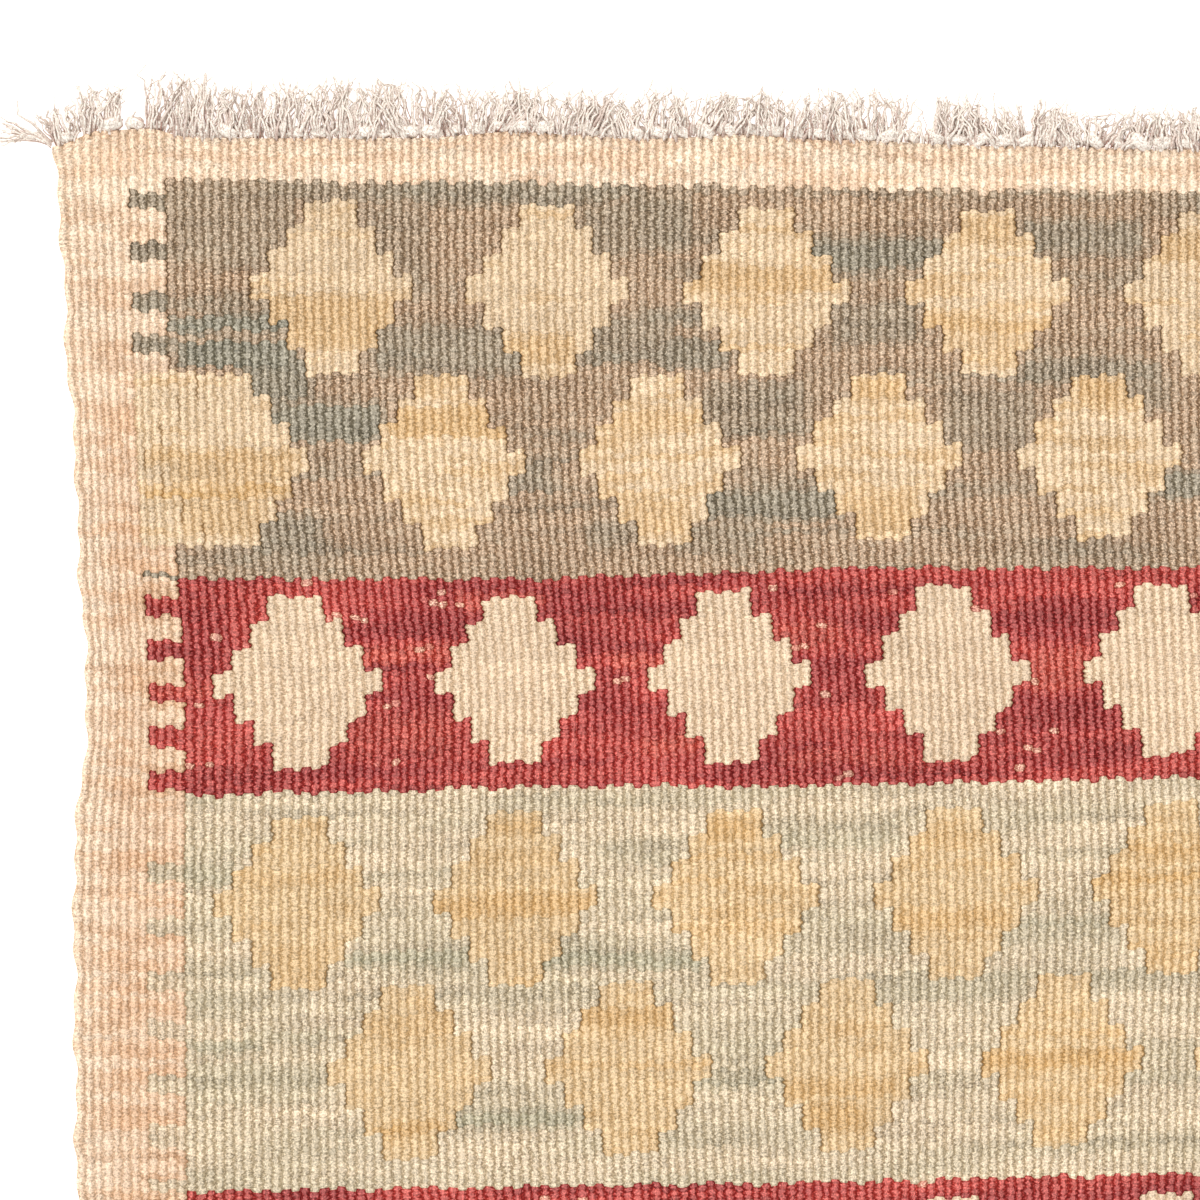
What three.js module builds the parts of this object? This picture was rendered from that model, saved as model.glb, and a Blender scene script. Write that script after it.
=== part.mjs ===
// Small slit-woven kilim rug, lying flat on a floor with its fringes laid out.
// Millimetres. +X runs across the width, +Y along the warps to the head end, +Z up, underside on Z = 0.
// A place on the cloth is a warp, counted from the left selvedge, and a way down from the head end.

import * as THREE from "three";

// Weave: each warp shows as one rib, and each pair of weft picks as one bump along it
const WARP_COUNT = 240;
const WARP_PITCH = 2.5;
const BUMP_PITCH = 1.7;
const BAND_BUMPS = {
  end: 7,
  grey: 64,
  red: 35,
  sage: 65,
};
const BAND_ORDER = ["end", "grey", "red", "sage", "red", "grey", "red", "sage", "red", "grey", "end"];

// Cloth heights over the floor
const RIB_CREST = 2.6;
const RIB_VALLEY = 2.15;
const RIB_CREST_SPREAD = 0.08;
const SELVEDGE_CREST = 2.9;
const SELVEDGE_ROPE_WARPS = 2;
const EDGE_HEIGHT = 1.3;

// Warps bunch a little in places: the drift is in warps, the waves are counted over the width
const WARP_DRIFT = 0.12;
const WARP_DRIFT_WAVES = [23, 9];

// Selvedges: how far each stands outside its straight line, from the head end down
const SELVEDGE_ROWS = [
  { down: 0, left: 5.6, right: 2.4 },
  { down: 45, left: 2.8, right: 0.6 },
  { down: 100, left: -0.6, right: -1.4 },
  { down: 155, left: -3.4, right: -0.4 },
  { down: 200, left: 0.2, right: 1.6 },
  { down: 400, left: -1.6, right: -1.8 },
  { down: 610, left: 1.8, right: 0.8 },
  { down: 810, left: 0.4, right: -1.2 },
];

// Small bulges of the selvedges, where the wefts turn round the last warps
const SCALLOP_STEP = 5.4;
const SCALLOP_DEPTH = 0.45;
const SCALLOP_WAVES = [
  { length: 13, start: 0.4 },
  { length: 31, start: 2.1 },
];

// Ends: how far each end line stands outside its straight line, from the left selvedge across
const END_ROWS = [
  { knot: 0, head: -1.4, foot: -0.9 },
  { knot: 2, head: 2.9, foot: 0.4 },
  { knot: 4, head: 3.5, foot: 1.3 },
  { knot: 6, head: 1.0, foot: 1.1 },
  { knot: 10, head: 0.8, foot: 0.6 },
  { knot: 16, head: 0.9, foot: -0.8 },
  { knot: 20, head: 2.6, foot: -1.4 },
  { knot: 26, head: 0.7, foot: -0.2 },
  { knot: 30, head: 1.7, foot: 0.9 },
  { knot: 34, head: 0.3, foot: 1.6 },
  { knot: 42, head: -1.4, foot: 0.5 },
  { knot: 50, head: -2.3, foot: -1.1 },
  { knot: 62, head: -0.6, foot: -1.6 },
  { knot: 76, head: 1.4, foot: 0.7 },
  { knot: 88, head: 0.2, foot: 1.2 },
  { knot: 96, head: -1.5, foot: -1.2 },
];

// Fringe: a row of knots along each end, parted from the cloth by a hair
const KNOT_COUNT = 96;
const KNOT_GAP = 0.35;
const KNOT_INNER_HEIGHT = 2.3;
const KNOT_CREST_OUT = 2.6;
const KNOT_SHOULDERS = [0.27, 0.73];
const KNOT_CROWN = { crest: 4.4, outer: 2.6, depth: 5.4 };
const KNOT_DIP = { crest: 1.9, outer: 1.6, depth: 4.2 };

// Locks: frayed warp ends, three to every two knots, lying level on the floor
const LOCKS_PER_END = 144;
const LOCK_ROOT_WIDTH = 2.4;
const LOCK_BELLY = { at: 0.45, width: 3.0, height: 2.3 };
const LOCK_LENGTH = 7.6;
const LOCK_LENGTH_WAVE = { size: 1.4, turn: 2.9 };
const LOCK_LEAN_WAVES = [
  { size: 1.9, turn: 0.9 },
  { size: 0.6, turn: 5.3 },
];
const FOOT_PHASE = 2.5;

// Bald spots, where knots have lost their locks, in knots from the left selvedge
const BALD_SPOTS = {
  head: [
    { from: 2.9, to: 4.1 },
    { from: 37.1, to: 37.9 },
    { from: 70.4, to: 71.2 },
  ],
  foot: [
    { from: 21.3, to: 22.1 },
    { from: 58.6, to: 59.9 },
  ],
};

// Loose wisps: the first locks of the head end, which stray past the worn corner
const WISPS = [
  { aside: -15.5, along: 4.4, belly: 1.3, height: 1.2 },
  { aside: -8.2, along: 7.6, belly: 1.6, height: 1.5 },
];

const LEFT = "left";
const RIGHT = "right";
const HEAD = "head";
const FOOT = "foot";

const width = WARP_COUNT * WARP_PITCH;
const length = BUMP_PITCH * BAND_ORDER.reduce((sum, band) => sum + BAND_BUMPS[band], 0);
const warpsPerKnot = WARP_COUNT / KNOT_COUNT;

// Straight-line reading of one column of a table, at a place on its key column
function readTable(rows, key, column, place) {
  const after = rows.find((row, i) => i > 0 && row[key] >= place) ?? rows.at(-1);
  const before = rows[rows.indexOf(after) - 1];
  const share = THREE.MathUtils.clamp((place - before[key]) / (after[key] - before[key]), 0, 1);
  return THREE.MathUtils.lerp(before[column], after[column], share);
}

// X of a selvedge's straight-run line at a share of the way down
function selvedgeX(side, share) {
  const outward = readTable(SELVEDGE_ROWS, "down", side, share * length);
  return side === LEFT ? -width / 2 - outward : width / 2 + outward;
}

// Y of an end line at a warp
function endY(end, warp) {
  const outward = readTable(END_ROWS, "knot", end, warp / warpsPerKnot);
  return end === HEAD ? length / 2 + outward : -length / 2 - outward;
}

// Plan position of a place on the cloth
function clothPlan(warp, share) {
  const bunched = WARP_DRIFT_WAVES.reduce(
    (sum, waves) => sum + WARP_DRIFT * Math.sin((2 * Math.PI * waves * warp) / WARP_COUNT),
    warp,
  );
  const x = THREE.MathUtils.lerp(selvedgeX(LEFT, share), selvedgeX(RIGHT, share), bunched / WARP_COUNT);
  const y = THREE.MathUtils.lerp(endY(HEAD, warp), endY(FOOT, warp), share);
  return new THREE.Vector2(x, y);
}

// Outward bulge of a selvedge at a way down
function scallop(down) {
  return SCALLOP_WAVES.reduce(
    (sum, wave) => sum + SCALLOP_DEPTH * Math.sin((2 * Math.PI * down) / wave.length + wave.start),
    0,
  );
}

// Height of the cloth's upper face on a rib's crest or in the valley between two ribs
function ribHeight(warp) {
  if (Number.isInteger(warp)) {
    return RIB_VALLEY;
  }
  const inFromEdge = Math.min(warp, WARP_COUNT - warp);
  if (inFromEdge < SELVEDGE_ROPE_WARPS) {
    return SELVEDGE_CREST;
  }
  return RIB_CREST + RIB_CREST_SPREAD * Math.sin(warp * warp);
}

// A closed skin that grows by stitching lines of points together.
// A line is a list of { point, at }, where at runs from 0 to 1 along the line.
class Skin {
  constructor(mirrored = false) {
    this.points = [];
    this.faces = [];
    this.mirrored = mirrored;
  }

  line(places) {
    return places.map(({ x, y, z, at }) => {
      this.points.push(x, y, z);
      return { point: this.points.length / 3 - 1, at };
    });
  }

  // Faces between two lines: seen from outside, the second line lies to the left of the first
  stitch(first, second) {
    let a = 0;
    let b = 0;
    while (a < first.length - 1 || b < second.length - 1) {
      const nextA = a < first.length - 1 ? first[a + 1].at : Infinity;
      const nextB = b < second.length - 1 ? second[b + 1].at : Infinity;
      if (nextA <= nextB) {
        this.face(first[a].point, first[a + 1].point, second[b].point);
        a += 1;
      } else {
        this.face(first[a].point, second[b + 1].point, second[b].point);
        b += 1;
      }
    }
  }

  face(a, b, c) {
    this.faces.push(...(this.mirrored ? [a, c, b] : [a, b, c]));
  }

  // A flat face that looks down, inside a closed outline
  close(outline) {
    const plan = outline.map(({ point }) => {
      const [x, y] = this.points.slice(3 * point, 3 * point + 2);
      return new THREE.Vector2(x, y);
    });
    for (const corners of THREE.ShapeUtils.triangulateShape(plan, [])) {
      const looksUp = THREE.ShapeUtils.area(corners.map((corner) => plan[corner])) > 0;
      const [a, b, c] = corners.map((corner) => outline[corner].point);
      this.face(a, looksUp ? c : b, looksUp ? b : c);
    }
  }

  geometry() {
    const geometry = new THREE.BufferGeometry();
    geometry.setAttribute("position", new THREE.Float32BufferAttribute(this.points, 3));
    geometry.setIndex(this.faces);
    return geometry;
  }
}

// Shares of the way down at which a selvedge has a point
function selvedgeShares() {
  const steps = Math.round(length / SCALLOP_STEP);
  return Array.from({ length: steps + 1 }, (_, i) => i / steps);
}

// One selvedge's line of points at a height
function selvedgePlaces(side, height) {
  const warp = side === LEFT ? 0 : WARP_COUNT;
  const outward = side === LEFT ? -1 : 1;
  return selvedgeShares().map((share) => {
    const plan = clothPlan(warp, share);
    return { x: plan.x + outward * scallop(share * length), y: plan.y, z: height, at: share };
  });
}

// Places of the crests and valleys across the cloth, at a share of the way down
function ribPlaces(share) {
  return Array.from({ length: 2 * WARP_COUNT - 1 }, (_, i) => {
    const warp = (i + 1) / 2;
    const plan = clothPlan(warp, share);
    return { x: plan.x, y: plan.y, z: ribHeight(warp), at: warp / WARP_COUNT };
  });
}

// Places on the floor along an end of the cloth, between its two corners
function endFootPlaces(share) {
  return END_ROWS.slice(1, -1).map((row) => {
    const warp = row.knot * warpsPerKnot;
    const plan = clothPlan(warp, share);
    return { x: plan.x, y: plan.y, z: 0, at: warp / WARP_COUNT };
  });
}

// The woven cloth: ribbed above, flat below
function buildCloth() {
  const skin = new Skin();
  const sides = [LEFT, RIGHT].map((side) => ({
    top: skin.line(selvedgePlaces(side, EDGE_HEIGHT)),
    foot: skin.line(selvedgePlaces(side, 0)),
  }));
  const [left, right] = sides;
  const last = left.top.length - 1;
  const rows = SELVEDGE_ROWS.map((row) => Math.min(row.down / length, 1));
  const ribs = rows.map((share) => skin.line(ribPlaces(share)));

  // Upper face, rib by rib, and the outer flanks of the two outermost ribs
  ribs.slice(1).forEach((row, i) => skin.stitch(row, ribs[i]));
  const flank = (column) => ribs.map((row, i) => ({ point: row.at(column).point, at: rows[i] }));
  skin.stitch(left.top, flank(0));
  skin.stitch(flank(-1), right.top);

  // Side walls
  skin.stitch(left.foot, left.top);
  skin.stitch(right.top, right.foot);

  // End walls, each from its ribs down to a floor line that bends where the end does
  const endLine = (i, inner, level) => [
    { point: left[level][i].point, at: 0 },
    ...inner,
    { point: right[level][i].point, at: 1 },
  ];
  const headFloor = endLine(0, skin.line(endFootPlaces(0)), "foot");
  const footFloor = endLine(last, skin.line(endFootPlaces(1)), "foot");
  skin.stitch(endLine(0, ribs[0], "top"), headFloor);
  skin.stitch(footFloor, endLine(last, ribs.at(-1), "top"));

  // Flat underside
  const down = (line) => line.slice(1, -1);
  skin.close([...headFloor, ...down(right.foot), ...[...footFloor].reverse(), ...down(left.foot).reverse()]);
  return skin.geometry();
}

// A place on a fringe: outward is counted from the end line, away from the cloth
function fringePlace(end, knot, outward, height, aside = 0) {
  const plan = clothPlan(knot * warpsPerKnot, end === HEAD ? 0 : 1);
  const away = end === HEAD ? 1 : -1;
  return { x: plan.x + aside, y: plan.y + away * (KNOT_GAP + outward), z: height, at: knot / KNOT_COUNT };
}

// A measure of the knots' section part way along the row: 0 in the dips, 1 on the crowns
function knotMeasure(name, knot) {
  const crown = Math.sin(Math.PI * (knot - Math.floor(knot)));
  return THREE.MathUtils.lerp(KNOT_DIP[name], KNOT_CROWN[name], crown);
}

// Where the locks of an end grow, in knots from the left selvedge
function lockSpots(end) {
  const spots = Array.from({ length: LOCKS_PER_END }, (_, i) => ((i + 0.5) / LOCKS_PER_END) * KNOT_COUNT);
  return spots.filter((knot) => !BALD_SPOTS[end].some(({ from, to }) => knot > from && knot < to));
}

// The reach of one lock: how far its tip lies out from its root, and aside
function lockReach(end, knot, i) {
  if (end === HEAD && i < WISPS.length) {
    return WISPS[i];
  }
  const phase = end === HEAD ? 0 : FOOT_PHASE;
  const swayed = ({ size, turn }) => size * Math.sin(turn * knot + phase);
  const aside = LOCK_LEAN_WAVES.reduce((sum, wave) => sum + swayed(wave), 0);
  const along = LOCK_LENGTH + swayed(LOCK_LENGTH_WAVE);
  return { aside, along, belly: LOCK_BELLY.width, height: LOCK_BELLY.height };
}

// One tapering lock of three sides, from its open root in the wall through a belly to a tip on the floor
function growLock(skin, end, knot, root, reach) {
  const depth = knotMeasure("depth", knot);
  const half = reach.belly / 2 / (WARP_PITCH * warpsPerKnot);
  const out = depth + LOCK_BELLY.at * reach.along;
  const aside = LOCK_BELLY.at * reach.aside;
  const belly = skin.line([
    fringePlace(end, knot - half, out, 0, aside),
    fringePlace(end, knot, out, reach.height, aside),
    fringePlace(end, knot + half, out, 0, aside),
  ]);
  const [tip] = skin.line([fringePlace(end, knot, depth + reach.along, 0, reach.aside)]);
  root.forEach((corner, i) => {
    const next = (i + 1) % root.length;
    skin.face(corner.point, root[next].point, belly[next].point);
    skin.face(corner.point, belly[next].point, belly[i].point);
    skin.face(belly[i].point, belly[next].point, tip.point);
  });
}

// Knots and locks of one end, as one body
function buildFringe(end) {
  const skin = new Skin(end === FOOT);
  const dips = Array.from({ length: KNOT_COUNT + 1 }, (_, i) => i);
  const last = dips.at(-1);
  const shoulders = (knot) => KNOT_SHOULDERS.map((share) => knot + share);
  const crestStops = [...dips.slice(0, -1).flatMap((knot) => [knot, ...shoulders(knot)]), last];
  const rootHalf = LOCK_ROOT_WIDTH / 2 / (WARP_PITCH * warpsPerKnot);

  const innerFloor = skin.line(dips.map((knot) => fringePlace(end, knot, 0, 0)));
  const innerTop = skin.line(dips.map((knot) => fringePlace(end, knot, 0, KNOT_INNER_HEIGHT)));
  const crest = skin.line(
    crestStops.map((knot) => fringePlace(end, knot, KNOT_CREST_OUT, knotMeasure("crest", knot))),
  );
  const outerTop = (knot) => fringePlace(end, knot, knotMeasure("depth", knot), knotMeasure("outer", knot));
  const outerFloor = (knot) => fringePlace(end, knot, knotMeasure("depth", knot), 0);

  // The outer wall is closed between the locks, and each lock grows out of a gap in it
  const topLine = skin.line([outerTop(0)]);
  const floorLine = skin.line([outerFloor(0)]);
  const closeWall = (top, floor) => {
    skin.face(floorLine.at(-1).point, topLine.at(-1).point, top.point);
    skin.face(floorLine.at(-1).point, top.point, floor.point);
  };
  lockSpots(end).forEach((knot, i) => {
    const [top] = skin.line([outerTop(knot)]);
    const [before, after] = skin.line([outerFloor(knot - rootHalf), outerFloor(knot + rootHalf)]);
    closeWall(top, before);
    growLock(skin, end, knot, [before, top, after], lockReach(end, knot, i));
    topLine.push(top);
    floorLine.push(before, after);
  });
  const [top] = skin.line([outerTop(last)]);
  const [floor] = skin.line([outerFloor(last)]);
  closeWall(top, floor);
  topLine.push(top);
  floorLine.push(floor);

  skin.stitch(innerFloor, innerTop);
  skin.stitch(innerTop, crest);
  skin.stitch(crest, topLine);
  skin.stitch(floorLine, innerFloor);
  const lines = [innerFloor, innerTop, crest, topLine, floorLine];
  const ring = (column) => lines.map((line) => line.at(column).point);
  [ring(0), ring(-1).reverse()].forEach((corners) => {
    corners.slice(2).forEach((corner, i) => skin.face(corners[0], corners[i + 1], corner));
  });
  return skin.geometry();
}

const wool = new THREE.MeshStandardMaterial({ color: 0xc8ab85, roughness: 0.95, metalness: 0 });
const warpYarn = new THREE.MeshStandardMaterial({ color: 0xeaded2, roughness: 0.9, metalness: 0 });

const pieces = [
  { name: "rug_cloth", geometry: buildCloth(), material: wool },
  { name: "fringe_head", geometry: buildFringe(HEAD), material: warpYarn },
  { name: "fringe_foot", geometry: buildFringe(FOOT), material: warpYarn.clone() },
];

const rug = new THREE.Group();
for (const { name, geometry, material } of pieces) {
  const mesh = new THREE.Mesh(geometry, material);
  mesh.name = name;
  rug.add(mesh);
}

// The origin is under the middle of the whole rug
const middle = new THREE.Box3().setFromObject(rug).getCenter(new THREE.Vector3());
rug.position.set(-middle.x, -middle.y, 0);

export default rug;
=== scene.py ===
"""Small slit-woven kilim rug, seen from straight above at its head end's left corner."""

import math

import bpy
import numpy as np
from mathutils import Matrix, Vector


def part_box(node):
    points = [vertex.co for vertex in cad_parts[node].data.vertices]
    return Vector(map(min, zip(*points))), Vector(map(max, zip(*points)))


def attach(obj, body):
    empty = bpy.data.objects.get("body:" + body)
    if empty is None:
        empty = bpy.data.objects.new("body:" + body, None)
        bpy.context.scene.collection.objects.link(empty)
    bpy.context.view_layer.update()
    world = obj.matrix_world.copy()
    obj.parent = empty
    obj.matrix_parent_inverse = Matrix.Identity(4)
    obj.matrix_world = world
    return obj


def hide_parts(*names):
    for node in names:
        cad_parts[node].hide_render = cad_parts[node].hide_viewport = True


bl_info = {
    "name": "Kilim rug",
    "version": (1, 0, 0),
    "blender": (4, 5, 0),
    "location": "View3D > Sidebar > Kilim",
    "description": "Weaves a small kilim rug with stepped diamonds and ties its fringes",
    "category": "Object",
}

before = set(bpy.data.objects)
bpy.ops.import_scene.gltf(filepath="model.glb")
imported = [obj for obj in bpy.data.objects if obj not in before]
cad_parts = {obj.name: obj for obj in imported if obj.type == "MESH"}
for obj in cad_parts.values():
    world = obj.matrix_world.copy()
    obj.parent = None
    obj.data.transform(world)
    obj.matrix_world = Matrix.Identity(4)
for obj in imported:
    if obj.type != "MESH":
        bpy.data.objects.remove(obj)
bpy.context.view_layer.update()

MM = 0.001


def table(columns, *rows):
    """A table whose rows name their columns."""
    return [dict(zip(columns.split(), row)) for row in rows]


def named_table(columns, rows):
    """The same with a name for each row."""
    return {name: dict(zip(columns.split(), row)) for name, row in rows.items()}


# Bands from the head end down, in bumps of the weave; the first four after the end band repeat
END_BUMPS = 7
GREY_BUMPS = 64
RED_BUMPS = 35
SAGE_BUMPS = 65
REPEAT_BUMPS = GREY_BUMPS + RED_BUMPS + SAGE_BUMPS + RED_BUMPS
BODY_BUMPS = 2 * REPEAT_BUMPS + GREY_BUMPS
CLOTH_BUMPS = BODY_BUMPS + 2 * END_BUMPS
RED_START = GREY_BUMPS
SAGE_START = GREY_BUMPS + RED_BUMPS
SECOND_RED_START = SAGE_START + SAGE_BUMPS

# Warps across: plain selvedge, toothed border, field
WARPS = 240
SELVEDGE_WARPS = 8
TOOTH_WARPS = 4
FIELD_FROM = SELVEDGE_WARPS + TOOTH_WARPS

# Stepped diamonds: the widest step is 18 warps, and each step further out is 4 warps narrower
DIAMOND_REPEAT = 24
DIAMOND_HALF = 9
DIAMOND_STEP_WARPS = 2
DIAMOND_STEP_BUMPS = 4
DIAMOND_STEPS = 7
DIAMOND_BUMPS = DIAMOND_STEPS * DIAMOND_STEP_BUMPS
DIAMOND_MARGIN = 3

# Rows of diamonds in one repeat: where each starts, and where its first centre lies in the field
DIAMOND_ROWS = table(
    "start centre",
    (3, 18),
    (31, 6),
    (RED_START + 3, 12),
    (SAGE_START + 4, 12),
    (SAGE_START + 32, 24),
    (SECOND_RED_START + 3, 12),
)

# Teeth of the border in each band: pitch in bumps, and how far the first lies under the band's start
TOOTH_BUMPS = 3
TEETH = named_table(
    "pitch first",
    {
        "grey": (7.6, 2),
        "red": (7.0, 3),
        "sage": (8.6, 11),
    },
)
FAINT_TEETH = 0.8

# Selvedges: how far each stands outside its straight line, in mm, from the head end down
SELVEDGE_ROWS = table(
    "down left right",
    (0, 5.6, 2.4),
    (45, 2.8, 0.6),
    (100, -0.6, -1.4),
    (155, -3.4, -0.4),
    (200, 0.2, 1.6),
    (400, -1.6, -1.8),
    (610, 1.8, 0.8),
    (810, 0.4, -1.2),
)
SCALLOP_DEPTH = 0.45
SCALLOP_WAVES = table(
    "length start",
    (13, 0.4),
    (31, 2.1),
)

# Warps: how far they lean to the right of straight, in mm, at seven places across
SWAY_PLACES = [10, 24, 48, 72, 96, 120, 180]
SWAY_ROWS = table(
    "bump right",
    (0, [-5.0, -4.0, -4.0, -3.2, -1.8, -1.2, -0.4]),
    (24, [-4.4, -3.5, -4.2, -3.6, -1.6, -1.1, -0.5]),
    (52, [-3.4, -2.8, -2.5, -3.0, -1.4, -0.4, 0.2]),
    (88, [0.2, 3.8, 2.5, 1.6, 2.5, 2.8, 1.4]),
    (124, [0.2, 2.5, 1.8, 3.9, 5.0, 5.4, 2.4]),
    (152, [0.6, 2.8, 2.9, 4.2, 4.4, 3.6, 1.8]),
    (176, [1.0, 2.8, 4.6, 6.0, 3.6, 2.8, 1.4]),
    (260, [-1.2, 0.4, 1.4, 2.2, 0.6, 1.8, 0.9]),
    (360, [0.8, -0.6, -1.8, -0.4, 1.2, -1.4, -1.0]),
    (CLOTH_BUMPS, [0.6, 0.4, -0.8, -1.2, -0.4, 0.6, -0.4]),
)

# Ends: how far each end line stands outside its straight line, in mm, from the left selvedge across
KNOT_COUNT = 96
END_ROWS = table(
    "knot head foot",
    (0, -1.4, -0.9),
    (2, 2.9, 0.4),
    (4, 3.5, 1.3),
    (6, 1.0, 1.1),
    (10, 0.8, 0.6),
    (16, 0.9, -0.8),
    (20, 2.6, -1.4),
    (26, 0.7, -0.2),
    (30, 1.7, 0.9),
    (34, 0.3, 1.6),
    (42, -1.4, 0.5),
    (50, -2.3, -1.1),
    (62, -0.6, -1.6),
    (76, 1.4, 0.7),
    (88, 0.2, 1.2),
    (96, -1.5, -1.2),
)

# Weft lines: how far the cloth is beaten up from level, in mm, at five places across
WEFT_PLACES = [14, 50, 86, 122, 200]
WEFT_ROWS = table(
    "bump up",
    (7, [1.0, -0.8, -2.5, -3.0, -1.0]),
    (71, [-0.9, -1.4, 2.0, 2.2, -0.4]),
    (106, [-1.9, 0.7, 1.1, 3.3, 0.9]),
    (171, [-1.0, 0.4, 1.9, 4.0, 1.6]),
    (206, [0.4, -0.8, 0.2, 2.2, 2.0]),
    (270, [1.2, 0.4, -1.0, 0.6, 1.4]),
    (305, [0.2, 1.4, -0.6, -1.2, 0.3]),
    (370, [-1.1, 0.8, 1.0, -0.9, -1.3]),
    (405, [-0.6, -0.9, 1.3, 0.4, -1.0]),
    (469, [0.6, -0.6, 0.2, 0.9, -0.4]),
)

# Frayed ends: how far they reach past the cloth at each end, in mm, from the left selvedge across
REACH_ROWS = table(
    "knot head foot",
    (0, 11.0, 12.0),
    (2, 12.0, 13.0),
    (5, 15.5, 11.5),
    (8, 13.4, 12.5),
    (15, 15.0, 13.5),
    (20, 11.2, 11.0),
    (26, 12.0, 12.0),
    (31, 11.2, 14.0),
    (37, 13.4, 13.0),
    (42, 10.8, 11.5),
    (46, 9.6, 12.5),
    (52, 11.0, 14.0),
    (62, 13.0, 12.0),
    (74, 12.0, 13.5),
    (86, 13.5, 11.0),
    (96, 12.0, 12.5),
)

# Share of the strands that are pale and thick, and stretches of knots with hardly any strands
PALE_SHARE = 0.78
BALD_SPOTS = {"head": [(2.9, 4.1), (37.1, 37.9), (70.4, 71.2)], "foot": [(21.3, 22.1), (58.6, 59.9)]}

# Loose warps that stray from the head end's left corner: place and reach in mm, and turn in degrees
STRAYS = table(
    "aside along reach turn",
    (-1.5, 1.5, 17.0, 68),
    (-4.5, 2.5, 12.0, 84),
    (-0.5, 2.0, 9.0, 40),
)

# The mesh of the cloth: weft lines between the selvedges, readings of the outline that centre it, steps
# in warps on its two faces, and the warps of each selvedge's rope
CLOTH_ROWS = 52
PLAN_READINGS = 400
UPPER_STEP = 0.25
UNDER_STEP = 0.5
ROPE_WARPS = 2

# Sides of the cloth, as its points carry them
UPPER = 1.0
UNDER = 0.0
SELVEDGE = 0.5

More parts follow.
